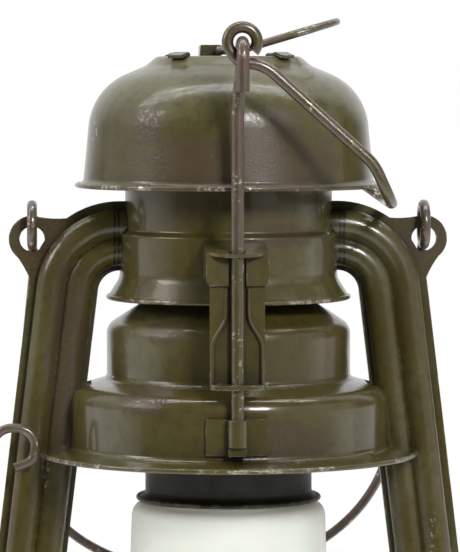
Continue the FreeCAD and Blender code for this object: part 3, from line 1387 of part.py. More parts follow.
def check_document():
    """Stops if any object failed or any piece isn't whole."""
    doc.recompute()
    for obj in doc.Objects:
        if "Invalid" in obj.State or "Error" in obj.State:
            raise RuntimeError(f"{obj.Name} failed: {obj.State}")
    for piece in pieces:
        if piece.Shape.isNull() or not piece.Shape.isValid() or not piece.Shape.Solids:
            raise RuntimeError(f"{piece.Label} has no valid solid")


def write_parts():
    os.makedirs("parts", exist_ok=True)
    for piece in pieces:
        piece.Shape.exportStep(os.path.join("parts", piece.Label + ".step"))
        bounds = piece.Shape.optimalBoundingBox(False)
        print(f"{piece.Label:18s} solids {len(piece.Shape.Solids)}  volume {piece.Shape.Volume:9.1f}"
              f"  x {bounds.XMin:7.2f} {bounds.XMax:7.2f}  y {bounds.YMin:7.2f} {bounds.YMax:7.2f}"
              f"  z {bounds.ZMin:7.2f} {bounds.ZMax:7.2f}")


make_fount()
make_filler_cap()
make_drum()
make_burner()
make_wick()
make_side_tubes()
make_crown()
make_hood()
make_spider()
make_ring_strap()
make_hood_ring()
make_storm_cap()
make_lift_gear()
make_lift_bail()
make_globe()
make_stage()
make_lever()
make_lever_bracket()
make_carry_bail()
check_document()
write_parts()
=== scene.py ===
"""Dresses the packed hurricane lantern in worn paint, aged wire, frosted glass, brass and cotton."""

import math
import random

import bmesh
import bpy
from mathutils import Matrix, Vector


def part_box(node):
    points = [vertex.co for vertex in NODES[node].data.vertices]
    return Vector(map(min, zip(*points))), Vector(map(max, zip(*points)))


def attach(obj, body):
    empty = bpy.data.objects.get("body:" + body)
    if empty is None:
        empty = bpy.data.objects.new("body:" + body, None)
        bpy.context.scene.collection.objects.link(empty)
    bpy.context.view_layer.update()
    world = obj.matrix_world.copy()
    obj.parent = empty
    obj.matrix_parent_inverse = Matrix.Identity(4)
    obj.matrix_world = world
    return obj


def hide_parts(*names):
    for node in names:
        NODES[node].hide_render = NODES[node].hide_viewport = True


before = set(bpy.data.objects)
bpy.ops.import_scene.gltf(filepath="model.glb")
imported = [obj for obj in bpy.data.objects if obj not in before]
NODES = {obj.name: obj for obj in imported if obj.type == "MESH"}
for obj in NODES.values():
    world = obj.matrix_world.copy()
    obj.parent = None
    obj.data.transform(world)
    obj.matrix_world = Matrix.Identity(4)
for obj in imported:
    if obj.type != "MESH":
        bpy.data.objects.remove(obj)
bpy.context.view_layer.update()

bl_info = {
    "name": "Hurricane Lantern",
    "version": (1, 0, 0),
    "blender": (4, 5, 0),
    "location": "View3D > Sidebar > Lantern",
    "description": "Dresses the hurricane lantern's frame and lights it",
    "category": "Object",
}

# Rims that wear bright, each a circle as (radius, height, reach) in metres

HOOD_RIM = (0.0399, 0.2396, 0.0012)
CHAMBER_LIP = (0.0317, 0.2103, 0.0014)
CAP_FLANGE = (0.0495, 0.1700, 0.0016)
COLLAR_LIP = (0.0241, 0.1587, 0.0010)
FOOT_ROLL = (0.0612, 0.0030, 0.0020)

# Other places on the lantern, in metres

CROWN_SEAMS = (0.0287, 0.0297)
# Heights between which a painted sheen makes the hood's top paler
ROOF_SHEEN = (0.250, 0.266)
ROD_RED_FROM = 0.226
EAR_WEAR = (0.0545, 0.0, 0.2280)
EAR_WEAR_SIZE = (0.012, 0.020, 0.012)

# Depth of each finish's relief, in metres

SHEET_WAVES = 0.00025
SHEET_GRIT = 0.000075
CHIP_STEP = 0.00006
COAT_WAVES = 0.00012
COAT_GRIT = 0.00004
WIRE_PITS = 0.00007
BLACK_GRAIN = 0.00005
BRASS_GRAIN = 0.00003
FROST_GRAIN = 0.00003
RUBBER_GRAIN = 0.0001
WEAVE_DEPTH = 0.00018

# Colours that go with those a user may change

RUN_MARKS = (0.066, 0.049, 0.009)
SHEET_BLACK = (0.013, 0.013, 0.009)
SHEET_GREY = (0.032, 0.031, 0.022)
SHEET_RUBBED = (0.16, 0.13, 0.10)
BRASS_BRIGHT = (0.50, 0.36, 0.13)
BRASS_BROWN = (0.17, 0.105, 0.045)
BRASS_SPOTS = (0.07, 0.05, 0.03)
CORK = (0.10, 0.075, 0.05)
RUBBER = (0.035, 0.028, 0.022)
COTTON_HOLLOWS = (0.50, 0.45, 0.34)
COTTON_RIBS = (0.74, 0.69, 0.58)
SCORCHED = (0.10, 0.06, 0.03)
CHARRED = (0.012, 0.010, 0.009)
WHITE = (1.0, 1.0, 1.0)
BLACK = (0.0, 0.0, 0.0)

# The wick's weave and burnt end, in metres

RIB_PITCH = 0.0011
THREAD_PITCH = 0.0009
BURNT_LENGTH = 0.006
CHARRED_LENGTH = 0.0025
FRAYED_LENGTH = 0.0006

# The studio. A lamp is (name, place, size, brightness, aim, whether it shows in reflections)

SENSOR_WIDTH = 36.0
LANTERN_MIDDLE = (0.0, 0.0, 0.20)
LAMPS = (
    ("Right panel", (1.006, -0.558, 0.440), (1.90, 0.95), 0.50, LANTERN_MIDDLE, True),
    ("Right fill", (1.006, -0.558, 0.440), (1.90, 0.95), 0.35, LANTERN_MIDDLE, False),
    ("Left panel", (-1.100, 0.040, 0.440), (1.10, 0.95), 0.42, LANTERN_MIDDLE, True),
    ("Left fill", (-1.100, -0.240, 0.440), (1.10, 0.95), 0.65, LANTERN_MIDDLE, False),
    ("Left softbox", (-0.865, -0.248, 0.640), (0.35, 0.35), 7.0, LANTERN_MIDDLE, True),
    ("Key softbox", (0.411, -1.130, 0.813), (0.28, 0.28), 52.0, LANTERN_MIDDLE, True),
    ("Front ceiling tube", (-0.300, -0.100, 1.200), (2.20, 0.02), 34.0, (-0.300, -0.100, 0.0), True),
    ("Rear ceiling tube", (-0.300, 0.080, 1.200), (2.20, 0.02), 34.0, (-0.300, 0.080, 0.0), True),
)
WATTS_FOR_WHITE = 4.0
FLOOR_HALF = 6.0
FLOOR_DROP = 0.0002
SHADOW_FADE = (0.20, 0.75)
FLOOR_GLOW_NEAR = 0.35
FLOOR_BRIGHTENS = (-0.9, 0.1)
SKY_BRIGHTENS = (0.60, 0.95)
SKY_LEAN = 0.8
DIMMEST = 0.09
DIFFUSE_SHARE = 0.60


# Sizes and colours that a user may change


class LanternPaint(bpy.types.PropertyGroup):
    """The olive paint of the pressed steel."""

    olive: bpy.props.FloatVectorProperty(
        name="Olive", description="Colour of the sound paint", subtype="COLOR",
        size=3, min=0.0, max=1.0, default=(0.052, 0.040, 0.009),
    )
    # This olive also colours the painted sheen on the hood's top.
    faded_and_sheen: bpy.props.FloatVectorProperty(
        name="Faded olive", description="Colour of the paint where it has bleached", subtype="COLOR",
        size=3, min=0.0, max=1.0, default=(0.076, 0.073, 0.030),
    )
    brown: bpy.props.FloatVectorProperty(
        name="Brown wear", description="Colour where the paint has rubbed thin", subtype="COLOR",
        size=3, min=0.0, max=1.0, default=(0.050, 0.033, 0.019),
    )
    bare: bpy.props.FloatVectorProperty(
        name="Bare steel", description="Colour of the steel in chips and at edges", subtype="COLOR",
        size=3, min=0.0, max=1.0, default=(0.34, 0.30, 0.23),
    )
    # This colour paints shade in corners and under overhangs, and soiling at joints.
    dirt_and_shade: bpy.props.FloatVectorProperty(
        name="Grime", description="Colour of the dirt in corners", subtype="COLOR",
        size=3, min=0.0, max=1.0, default=(0.007, 0.006, 0.004),
    )
    gloss: bpy.props.FloatProperty(
        name="Gloss", description="How smooth the sound paint is", subtype="FACTOR",
        min=0.0, max=1.0, default=0.73,
    )


class LanternWire(bpy.types.PropertyGroup):
    """The wires: rods, bails and ring."""

    steel: bpy.props.FloatVectorProperty(
        name="Aged steel", description="Colour of the wire's old surface", subtype="COLOR",
        size=3, min=0.0, max=1.0, default=(0.056, 0.044, 0.024),
    )
    red: bpy.props.FloatVectorProperty(
        name="Red brown", description="Colour of the rod above its guide", subtype="COLOR",
        size=3, min=0.0, max=1.0, default=(0.092, 0.050, 0.040),
    )
    rubbed: bpy.props.FloatVectorProperty(
        name="Rubbed steel", description="Colour where the wire is rubbed bright", subtype="COLOR",
        size=3, min=0.0, max=1.0, default=(0.40, 0.34, 0.27),
    )


class LanternGlass(bpy.types.PropertyGroup):
    """The frosted globe."""

    tint: bpy.props.FloatVectorProperty(
        name="Frost", description="Colour of the frosted glass", subtype="COLOR",
        size=3, min=0.0, max=1.0, default=(0.95, 0.96, 0.91),
    )
    clearness: bpy.props.FloatProperty(
        name="Clearness", description="Share of the light that goes through the frost", subtype="FACTOR",
        min=0.0, max=1.0, default=0.60,
    )


class LanternStage(bpy.types.PropertyGroup):
    """Camera, floor and light."""

    camera_place: bpy.props.FloatVectorProperty(
        name="Camera", description="Where the camera stands", subtype="TRANSLATION",
        size=3, unit="LENGTH", default=(-0.0475, -0.9058, 0.266),
    )
    camera_aim: bpy.props.FloatVectorProperty(
        name="Aim", description="The point in the middle of the picture", subtype="TRANSLATION",
        size=3, unit="LENGTH", default=(0.0004, 0.0, 0.21584),
    )
    lens: bpy.props.FloatProperty(
        name="Lens", description="Focal length on a 36 mm wide sensor", subtype="DISTANCE_CAMERA",
        unit="CAMERA", min=20.0, default=273.1,
    )
    floor_tone: bpy.props.FloatProperty(
        name="Floor tone", description="How pale the floor is", subtype="FACTOR",
        min=0.0, max=1.0, default=0.80,
    )


# Materials from plain steps


class NodeSheet:
    """Adds nodes to a material or a world. Every step gives back a socket for the next one."""

    def __init__(self, holder):
        holder.use_nodes = True
        self.nodes = holder.node_tree.nodes
        self.links = holder.node_tree.links
        self.nodes.clear()

    def put(self, socket, value):
        if isinstance(value, bpy.types.NodeSocket):
            self.links.new(value, socket)
        else:
            socket.default_value = value

    def add(self, kind, values=None, **settings):
        node = self.nodes.new(kind)
        for name, value in settings.items():
            setattr(node, name, value)
        for name, value in (values or {}).items():
            self.put(node.inputs[name], value)
        return node

    def maths(self, operation, first, second=0.0, third=0.0):
        node = self.add("ShaderNodeMath", operation=operation)
        self.put(node.inputs[0], first)
        self.put(node.inputs[1], second)
        self.put(node.inputs[2], third)
        return node.outputs[0]

    def product(self, first, *others):
        for other in others:
            first = self.maths("MULTIPLY", first, other)
        return first

    def most(self, first, *others):
        for other in others:
            first = self.maths("MAXIMUM", first, other)
        return first

    def span(self, value, low, high, start=0.0, end=1.0):
        """Maps value from low..high to start..end, with soft ends, and stops at both."""
        node = self.add("ShaderNodeMapRange", interpolation_type="SMOOTHSTEP")
        self.put(node.inputs["Value"], value)
        self.put(node.inputs["From Min"], low)
        self.put(node.inputs["From Max"], high)
        self.put(node.inputs["To Min"], start)
        self.put(node.inputs["To Max"], end)
        return node.outputs["Result"]


class Recipe(NodeSheet):
    """Collects the nodes of one material, with the place on the piece to start from."""

    def __init__(self, name):
        self.material = bpy.data.materials.new(name)
        super().__init__(self.material)
        self.place = self.add("ShaderNodeTexCoord").outputs["Object"]
        axes = self.add("ShaderNodeSeparateXYZ", {"Vector": self.place})
        self.x = axes.outputs["X"]
        self.y = axes.outputs["Y"]
        self.z = axes.outputs["Z"]
        self.radius = self.length(self.add("ShaderNodeCombineXYZ", {"X": self.x, "Y": self.y}).outputs[0])

    def length(self, vector):
        node = self.add("ShaderNodeVectorMath", {0: vector}, operation="LENGTH")
        return node.outputs["Value"]

    def shifted(self, seed, stretch=(1.0, 1.0, 1.0)):
        """The place on the piece, moved by a seed and stretched."""
        node = self.add("ShaderNodeMapping", {"Vector": self.place})
        node.inputs["Location"].default_value = (seed * 0.137, seed * 0.071, seed * 0.093)
        node.inputs["Scale"].default_value = stretch
        return node.outputs["Vector"]

    def cloud(self, scale, seed=0.0, detail=4.0, rough=0.55, stretch=(1.0, 1.0, 1.0), swirl=0.0):
        """Soft noise between 0 and 1. scale is in features a metre."""
        node = self.add("ShaderNodeTexNoise", {"Vector": self.shifted(seed, stretch)})
        node.inputs["Scale"].default_value = scale
        node.inputs["Detail"].default_value = detail
        node.inputs["Roughness"].default_value = rough
        node.inputs["Distortion"].default_value = swirl
        return node.outputs["Fac"]

    def cells(self, scale, seed=0.0):
        """Distance to the nearest of many scattered points."""
        node = self.add("ShaderNodeTexVoronoi", {"Vector": self.shifted(seed)})
        node.inputs["Scale"].default_value = scale
        return node.outputs["Distance"]

    def patch(self, centre, size, seed, edge=0.35):
        """A worn place round a point, in metres, with a ragged edge."""
        raggedness = 0.55
        away = self.add("ShaderNodeVectorMath", {0: self.place, 1: centre}, operation="SUBTRACT")
        scaled = self.add("ShaderNodeVectorMath", {0: away.outputs[0], 1: size}, operation="DIVIDE")
        ragged = self.cloud(260.0, seed + 3.3, 5.0, 0.62)
        far = self.maths("MULTIPLY_ADD", ragged, 2.0 * raggedness, self.length(scaled.outputs[0]))
        far = self.maths("SUBTRACT", far, raggedness)
        return self.span(far, 1.0 - edge, 1.0 + edge, 1.0, 0.0)

    def rim(self, radius, height, reach):
        """1 on the circle of that radius and height round the upright axis, and 0 at reach from it."""
        out = self.maths("SUBTRACT", self.radius, radius)
        up = self.maths("SUBTRACT", self.z, height)
        gap = self.maths("SQRT", self.maths("ADD", self.product(out, out), self.product(up, up)))
        return self.span(gap, 0.0, reach, 1.0, 0.0)

    def edges(self, reach):
        """1 at the piece's own sharp edges within reach."""
        rounded = self.add("ShaderNodeBevel", samples=6)
        rounded.inputs["Radius"].default_value = reach
        facing = self.add("ShaderNodeNewGeometry").outputs["Normal"]
        both = {0: rounded.outputs[0], 1: facing}
        alike = self.add("ShaderNodeVectorMath", both, operation="DOT_PRODUCT").outputs["Value"]
        return self.span(self.maths("SUBTRACT", 1.0, alike), 0.02, 0.22)

    def corners(self, reach):
        """Painted shade: 1 in corners and under overhangs within reach, and 0 in the open."""
        node = self.add("ShaderNodeAmbientOcclusion", samples=4)
        node.inputs["Distance"].default_value = reach
        return self.span(node.outputs["AO"], 0.30, 0.80, 1.0, 0.0)

    def colour(self, share, first, second):
        """first where share is 0, second where it is 1."""
        node = self.add("ShaderNodeMix", data_type="RGBA")
        self.put(node.inputs["Factor"], share)
        self.put(node.inputs["A"], self.tone(first))
        self.put(node.inputs["B"], self.tone(second))
        return node.outputs["Result"]

    @staticmethod
    def tone(value):
        if isinstance(value, bpy.types.NodeSocket):
            return value
        return (value[0], value[1], value[2], 1.0)

    def relief(self, height, depth, below=None):
        """Bump from a height between 0 and 1, depth in metres."""
        node = self.add("ShaderNodeBump", {"Height": height})
        node.inputs["Strength"].default_value = 1.0
        node.inputs["Distance"].default_value = depth
        if below is not None:
            self.put(node.inputs["Normal"], below)
        return node.outputs["Normal"]

    def finish(self, **values):
        """Ends the material with one shader. A value is a number, a colour or a socket."""
        shader = self.add("ShaderNodeBsdfPrincipled")
        for name, value in values.items():
            socket = shader.inputs[name.replace("_", " ")]
            if isinstance(value, tuple) and len(value) == 3:
                value = (value[0], value[1], value[2], 1.0)
            self.put(socket, value)
        end = self.add("ShaderNodeOutputMaterial")
        self.links.new(shader.outputs[0], end.inputs["Surface"])
        return self.material


def sound_paint(make, seed, paled_by_sheen):
    """Paint that isn't worn: fading clouds, yellower marks run down it and a fine dark mottle. Between the
    given heights a painted sheen makes the top paler.
    """
    paint = bpy.context.scene.lantern_paint
    fade_and_sheen = make.span(make.cloud(34.0, seed, 5.0, 0.6), 0.40, 0.78, 0.0, 0.8)
    # Painted sheen: paler paint towards the top between the given heights.
    if paled_by_sheen:
        fade_and_sheen = make.most(fade_and_sheen, make.span(make.z, paled_by_sheen[0], paled_by_sheen[1]))
    olive = make.colour(fade_and_sheen, paint.olive, paint.faded_and_sheen)
    runs = make.span(make.cloud(120.0, seed + 16.0, 4.0, 0.6, (1.0, 1.0, 0.16)), 0.50, 0.70, 0.0, 0.7)
    olive = make.colour(runs, olive, RUN_MARKS)
    mottle = make.span(make.cloud(420.0, seed + 1.0, 3.0, 0.6), 0.42, 0.75, 0.0, 0.55)
    return make.colour(mottle, olive, [part * 0.55 for part in paint.olive])


def thin_places(make, seed, sharp, patches, brown):
    """Share of brown where the paint is thin: drifting clouds, named places and near the edges."""
    drift = make.cloud(60.0, seed + 2.0, 6.0, 0.68, swirl=0.4)
    thin = make.product(make.span(drift, 0.74 - 0.22 * brown, 0.80 - 0.10 * brown), brown)
    speckle = make.span(make.cloud(1100.0, seed + 17.0, 3.0, 0.6), 0.36, 0.60, 0.25, 1.0)
    for index, (centre, size) in enumerate(patches):
        thin = make.most(thin, make.product(make.patch(centre, size, seed + index), speckle))
    near_edge = make.product(sharp, make.span(make.cloud(120.0, seed + 4.0, 4.0), 0.36, 0.55), 0.8)
    return make.most(thin, near_edge)


def chipped_places(make, seed, sharp, rims, chips, rub):
    """Share of bare steel: edges, rims and named places, broken up by grain, and a few specks."""
    grain = make.cloud(900.0, seed + 5.0, 4.0, 0.7)
    coarse = make.cloud(150.0, seed + 6.0, 4.0, 0.65)
    rubbed = make.span(coarse, 0.60 - 0.18 * rub, 0.68 - 0.18 * rub)
    broken = make.product(make.span(grain, 0.44, 0.56), rubbed)
    chipped = make.product(sharp, broken)
    for radius, height, reach in rims:
        chipped = make.most(chipped, make.product(make.rim(radius, height, reach), broken))
    for index, (centre, size) in enumerate(chips):
        place = make.patch(centre, size, seed + 9.0 + index, 0.25)
        chipped = make.most(chipped, make.product(place, make.span(grain, 0.55, 0.61)))
    specks = make.span(make.cells(330.0, seed + 7.0), 0.055, 0.085, 1.0, 0.0)
    specks = make.product(specks, make.span(make.cloud(45.0, seed + 8.0, 2.0), 0.60, 0.72))
    return make.most(chipped, make.product(specks, 0.5))


def dirt_and_shade_places(make, seams):
    """Share of painted shade in corners and under overhangs, and of soiling at joints at the given
    distances from the middle plane.
    """
    # Painted shade in corners and under overhangs; the joints add soiling.
    shade_and_dirt = make.corners(0.006)
    for away in seams:
        gap = make.maths("ABSOLUTE", make.maths("SUBTRACT", make.maths("ABSOLUTE", make.x), away))
        shade_and_dirt = make.most(shade_and_dirt, make.span(gap, 0.00015, 0.00050, 1.0, 0.0))
    return make.product(shade_and_dirt, 0.9)


def paint_relief(make, seed, thin, chipped, rough):
    """Relief of the paint and of its gloss: waves of the sheet, grit in drifting zones, steps at chips."""
    zones = make.span(make.cloud(38.0, seed + 15.0, 3.0, 0.5), 0.48, 0.60, 0.03, 0.9)
    zones = make.product(make.most(zones, make.product(thin, 0.8)), rough)
    waves = make.cloud(55.0, seed + 13.0, 2.0, 0.5)
    grit = make.product(make.cloud(3000.0, seed + 14.0, 2.0, 0.6), zones)
    whole = make.maths("SUBTRACT", 1.0, chipped)
    skin = make.relief(whole, CHIP_STEP, make.relief(grit, SHEET_GRIT, make.relief(waves, SHEET_WAVES)))
    gloss = make.relief(whole, CHIP_STEP, make.relief(grit, COAT_GRIT, make.relief(waves, COAT_WAVES)))
    return skin, gloss


def worn_paint(
    name, seed, rims=(), patches=(), chips=(), paled_by_sheen=(), seams=(),
    brown=0.35, rub=0.5, edge=0.0012, rough=1.0,
):
    """Olive paint on pressed steel.

    rims are circles (radius, height, reach) rubbed bright. patches are (centre, size) rubbed to brown,
    and chips are (centre, size) flaked to steel. paled_by_sheen gives the heights between which a painted
    sheen makes the paint paler towards the top, and seams the distances from the middle plane where a
    joint is soiled. Corners and overhangs get painted shade. brown and rub say how much of each the rest
    has, edge how far wear reaches from an edge, and rough how gritty it is.
    """
    paint = bpy.context.scene.lantern_paint
    make = Recipe(name)
    sharp = make.edges(edge)
    thin = thin_places(make, seed, sharp, patches, brown)
    chipped = chipped_places(make, seed, sharp, rims, chips, rub)
    base = make.colour(thin, sound_paint(make, seed, paled_by_sheen), paint.brown)
    base = make.colour(chipped, base, paint.bare)
    # Painted shade in corners and under overhangs, and soiling at joints, darken the paint.
    base = make.colour(dirt_and_shade_places(make, seams), base, paint.dirt_and_shade)
    smear = make.cloud(26.0, seed + 11.0, 5.0, 0.6, (1.0, 1.0, 0.5), 0.6)
    dull = make.span(smear, 0.3, 0.75, 1.0 - paint.gloss - 0.05, 1.0 - paint.gloss + 0.10)
    skin, gloss = paint_relief(make, seed, thin, chipped, rough)
    return make.finish(
        Base_Color=base, Metallic=make.product(chipped, 0.75),
        Roughness=make.maths("MULTIPLY_ADD", thin, 0.08, dull), Normal=skin, Specular_IOR_Level=0.32,
        Coat_Weight=make.span(thin, 0.0, 0.7, 0.42, 0.06), Coat_Roughness=0.06, Coat_Normal=gloss,
    )


def aged_wire(name, seed, red_from=None, painted=0.0):
    """Old drawn wire. From the height red_from up it is red brown, and paint is left below."""
    wire = bpy.context.scene.lantern_wire
    paint = bpy.context.scene.lantern_paint
    make = Recipe(name)
    base = make.colour(make.span(make.cloud(150.0, seed, 5.0, 0.65), 0.35, 0.68), wire.steel, wire.red)
    if red_from is not None:
        ragged = make.maths("MULTIPLY_ADD", make.cloud(300.0, seed + 1.0, 4.0), 0.010, make.z)
        above = make.span(ragged, red_from, red_from + 0.006)
        rubbed = make.span(make.cloud(260.0, seed + 2.0, 4.0, 0.7), 0.60, 0.72)
        base = make.colour(above, make.colour(rubbed, paint.olive, wire.steel), base)
    left = make.span(make.cloud(90.0, seed + 3.0, 4.0, 0.6), 0.62 - 0.3 * painted, 0.70 - 0.3 * painted)
    base = make.colour(make.product(left, 0.85), base, paint.olive)
    streaks = make.span(make.cloud(700.0, seed + 4.0, 4.0, 0.7), 0.56, 0.64)
    bright = make.product(streaks, make.span(make.cloud(110.0, seed + 5.0, 3.0), 0.50, 0.60))
    base = make.colour(bright, base, wire.rubbed)
    # Painted shade: the wire darkens in corners and under overhangs.
    base = make.colour(make.product(make.corners(0.0025), 0.9), base, paint.dirt_and_shade)
    return make.finish(
        Base_Color=base, Metallic=make.maths("MULTIPLY_ADD", bright, 0.5, 0.22),
        Roughness=make.span(make.cloud(350.0, seed + 6.0, 4.0), 0.3, 0.7, 0.30, 0.46),
        Normal=make.relief(make.cloud(1600.0, seed + 7.0, 4.0, 0.7), WIRE_PITS),
        Coat_Weight=0.60, Coat_Roughness=0.12,
    )


def black_sheet(name, seed, rims=()):
    """Dull blackened sheet with a rubbed lip."""
    make = Recipe(name)
    clouds = make.span(make.cloud(90.0, seed, 5.0, 0.6), 0.35, 0.7)
    base = make.colour(clouds, SHEET_BLACK, SHEET_GREY)
    streaks = make.span(make.cloud(300.0, seed + 1.0, 4.0, 0.7), 0.5, 0.62)
    rub = make.product(make.edges(0.0008), streaks)
    for radius, height, reach in rims:
        broken = make.span(make.cloud(420.0, seed + 2.0, 4.0), 0.46, 0.58)
        rub = make.most(rub, make.product(make.rim(radius, height, reach), broken))
    return make.finish(
        Base_Color=make.colour(make.product(rub, 0.7), base, SHEET_RUBBED), Metallic=make.product(rub, 0.6),
        Roughness=make.span(make.cloud(140.0, seed + 3.0, 4.0), 0.3, 0.7, 0.42, 0.60),
        Normal=make.relief(make.cloud(900.0, seed + 4.0, 3.0), BLACK_GRAIN), Specular_IOR_Level=0.3,
    )


def dull_brass(name, seed):
    """Brass that has gone brown in places."""
    make = Recipe(name)
    tarnish = make.span(make.cloud(130.0, seed, 5.0, 0.65), 0.42, 0.66)
    base = make.colour(tarnish, BRASS_BRIGHT, BRASS_BROWN)
    spots = make.span(make.cells(420.0, seed + 1.0), 0.10, 0.16, 1.0, 0.0)
    base = make.colour(make.product(spots, 0.6), base, BRASS_SPOTS)
    dull = make.span(make.cloud(240.0, seed + 2.0, 4.0), 0.3, 0.7, 0.26, 0.46)
    skin = make.relief(make.cloud(1000.0, seed + 3.0, 3.0), BRASS_GRAIN)
    return make.finish(Base_Color=base, Metallic=0.95, Roughness=dull, Normal=skin)


def frosted_glass(name):
    """Frosted globe: milky, dull skin, a little light through it."""
    glass = bpy.context.scene.lantern_glass
    make = Recipe(name)
    tone = [part * 0.93 for part in glass.tint]
    base = make.colour(make.span(make.cloud(45.0, 2.0, 4.0, 0.5), 0.3, 0.7), glass.tint, tone)
    dull = make.span(make.cloud(300.0, 4.0, 3.0), 0.3, 0.7, 0.44, 0.56)
    skin = make.relief(make.cloud(2600.0, 5.0, 3.0, 0.7), FROST_GRAIN)
    return make.finish(
        Base_Color=base, Roughness=dull, Normal=skin, Transmission_Weight=glass.clearness, IOR=1.25,
        Subsurface_Weight=0.3, Subsurface_Scale=0.004,
    )


def rubber_ring(name):
    """Matt cork and rubber ring under the filler cap."""
    make = Recipe(name)
    grains = make.cells(900.0, 1.0)
    base = make.colour(make.span(grains, 0.1, 0.6), CORK, RUBBER)
    skin = make.relief(grains, RUBBER_GRAIN)
    return make.finish(Base_Color=base, Roughness=0.8, Normal=skin)


def woven_cotton(name, burnt_from, charred_from):
    """Plain woven cotton tape, brown and black at its burnt end."""
    make = Recipe(name)
    across = make.maths("SINE", make.maths("MULTIPLY", make.x, 2.0 * math.pi / RIB_PITCH))
    along = make.maths("SINE", make.maths("MULTIPLY", make.z, 2.0 * math.pi / THREAD_PITCH))
    weave = make.span(make.product(across, along), -1.0, 1.0)
    base = make.colour(weave, COTTON_HOLLOWS, COTTON_RIBS)
    ragged = make.maths("MULTIPLY_ADD", make.cloud(500.0, 1.0, 3.0), 0.0015, make.z)
    base = make.colour(make.span(ragged, burnt_from, charred_from), base, SCORCHED)
    char = make.span(ragged, charred_from - 0.001, charred_from + 0.001)
    base = make.colour(char, base, CHARRED)
    skin = make.relief(weave, WEAVE_DEPTH)
    return make.finish(Base_Color=base, Roughness=0.92, Normal=skin, Sheen_Weight=0.25)


def dress(finish, *names):
    """Gives CAD nodes a material in each of their slots."""
    for name in names:
        piece = NODES[name]
        if not piece.material_slots:
            piece.data.materials.append(finish)
        for place in piece.material_slots:
            place.material = finish


def smooth(piece):
    """Shades a new piece smooth, apart from its sharp edges."""
    sharp_from = math.radians(32.0)
    piece.data.shade_smooth()
    piece.data.set_sharp_from_angle(angle=sharp_from)


def skin_rings(work, rings):
    """Joins rings of vertices, each as long as the next, with four-sided faces."""
    for lower, upper in zip(rings, rings[1:]):
        around = len(lower)
        for step in range(around):
            after = (step + 1) % around
            work.faces.new((lower[step], lower[after], upper[after], upper[step]))


def new_piece(name, work, finish, body):
    """Makes an object from a bmesh and hangs it on its body."""
    mesh = bpy.data.meshes.new(name)
    work.to_mesh(mesh)
    work.free()
    mesh.materials.append(finish)
    piece = bpy.data.objects.new(name, mesh)
    bpy.context.scene.collection.objects.link(piece)
    smooth(piece)
    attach(piece, body)
    return piece


# The pieces


class LANTERN_OT_hood(bpy.types.Operator):
    """Paint the hood, its spider and the ring's strap"""

    bl_idname = "lantern.hood"
    bl_label = "Hood"

    def execute(self, context):
        finish = worn_paint(
            "Hood paint", 1.0,
            rims=(HOOD_RIM,),
            patches=(
                ((0.000, -0.036, 0.245), (0.030, 0.014, 0.008)),
                ((0.009, -0.036, 0.251), (0.009, 0.010, 0.010)),
                ((-0.022, -0.030, 0.2555), (0.004, 0.008, 0.005)),
            ),
            chips=(((-0.036, -0.008, 0.2535), (0.003, 0.006, 0.004)),),
            # Painted sheen: the hood's top is made paler.
            paled_by_sheen=ROOF_SHEEN, brown=0.4, rub=0.4,
        )
        dress(finish, "hood")
        tabs = worn_paint("Hood tab paint", 2.0, brown=0.7, rub=0.5, edge=0.0006)
        dress(tabs, "hood_spider", "ring_strap")
        return {"FINISHED"}


class LANTERN_OT_crown(bpy.types.Operator):
    """Paint the crown chamber, the flue and the rod guides"""

    bl_idname = "lantern.crown"
    bl_label = "Crown chamber"

    def execute(self, context):
        finish = worn_paint(
            "Chamber paint", 3.0,
            rims=(CHAMBER_LIP,),
            patches=(((0.014, -0.025, 0.2275), (0.012, 0.008, 0.003)),),
            brown=0.35, rub=0.6,
        )
        dress(finish, "crown_chamber", "flue_tube")
        guide = worn_paint("Guide paint", 4.0, brown=0.6, rub=0.55, edge=0.0006, rough=0.1)
        dress(guide, "rod_guide_front", "rod_guide_rear")
        for side in (-1, 1):
            self.bead("front", side, -1, guide)
            self.bead("rear", side, 1, guide)
        return {"FINISHED"}

    @staticmethod
    def bead(place, side, facing, finish):
        """Half of the raised bead round the bottle-shaped sinking of a rod guide's strap."""
        radius = 0.00055
        strap_face = 0.0423
        low, shoulder, neck, top = 0.1912, 0.2005, 0.2085, 0.2150
        wide, narrow = 0.0062, 0.0028
        around, rows = 12, 60
        rearward = Vector((0.0, 1.0, 0.0))
        work = bmesh.new()
        centres = []
        for row in range(rows + 1):
            height = low + (top - low) * row / rows
            share = min(1.0, max(0.0, (height - shoulder) / (neck - shoulder)))
            soft = share * share * (3.0 - 2.0 * share)
            away = wide + (narrow - wide) * soft
            centres.append(Vector((side * away, facing * strap_face, height)))
        rings = []
        for index, centre in enumerate(centres):
            along = centres[min(index + 1, rows)] - centres[max(index - 1, 0)]
            across = along.cross(rearward).normalized()
            ring = []
            for step in range(around):
                turn = 2.0 * math.pi * step / around
                offset = across * math.cos(turn) + rearward * math.sin(turn)
                ring.append(work.verts.new(centre + offset * radius))
            rings.append(ring)
        skin_rings(work, rings)
        work.faces.new(rings[0])
        work.faces.new(rings[-1])
        bmesh.ops.recalc_face_normals(work, faces=work.faces)
        hand = "left" if side < 0 else "right"
        new_piece(f"guide_bead_{place}_{hand}", work, finish, "frame")


class LANTERN_OT_storm_cap(bpy.types.Operator):
    """Paint the storm cap and its clips, and blacken the globe's collar"""

    bl_idname = "lantern.storm_cap"
    bl_label = "Storm cap"

    def execute(self, context):
        finish = worn_paint(
            "Cap paint", 5.0,
            rims=(CAP_FLANGE,),
            patches=(
                ((-0.0175, -0.026, 0.2035), (0.005, 0.010, 0.004)),
                ((-0.023, -0.032, 0.187), (0.007, 0.010, 0.005)),
                ((0.010, -0.040, 0.176), (0.020, 0.010, 0.005)),
            ),
            brown=0.45, rub=0.6,
        )
        dress(finish, "storm_cap")
        clips = worn_paint("Clip paint", 6.0, brown=0.5, rub=0.6, edge=0.0005)
        dress(clips, "rod_clip_front", "rod_clip_rear")
        dress(black_sheet("Collar black", 1.0, rims=(COLLAR_LIP,)), "globe_collar")
        return {"FINISHED"}


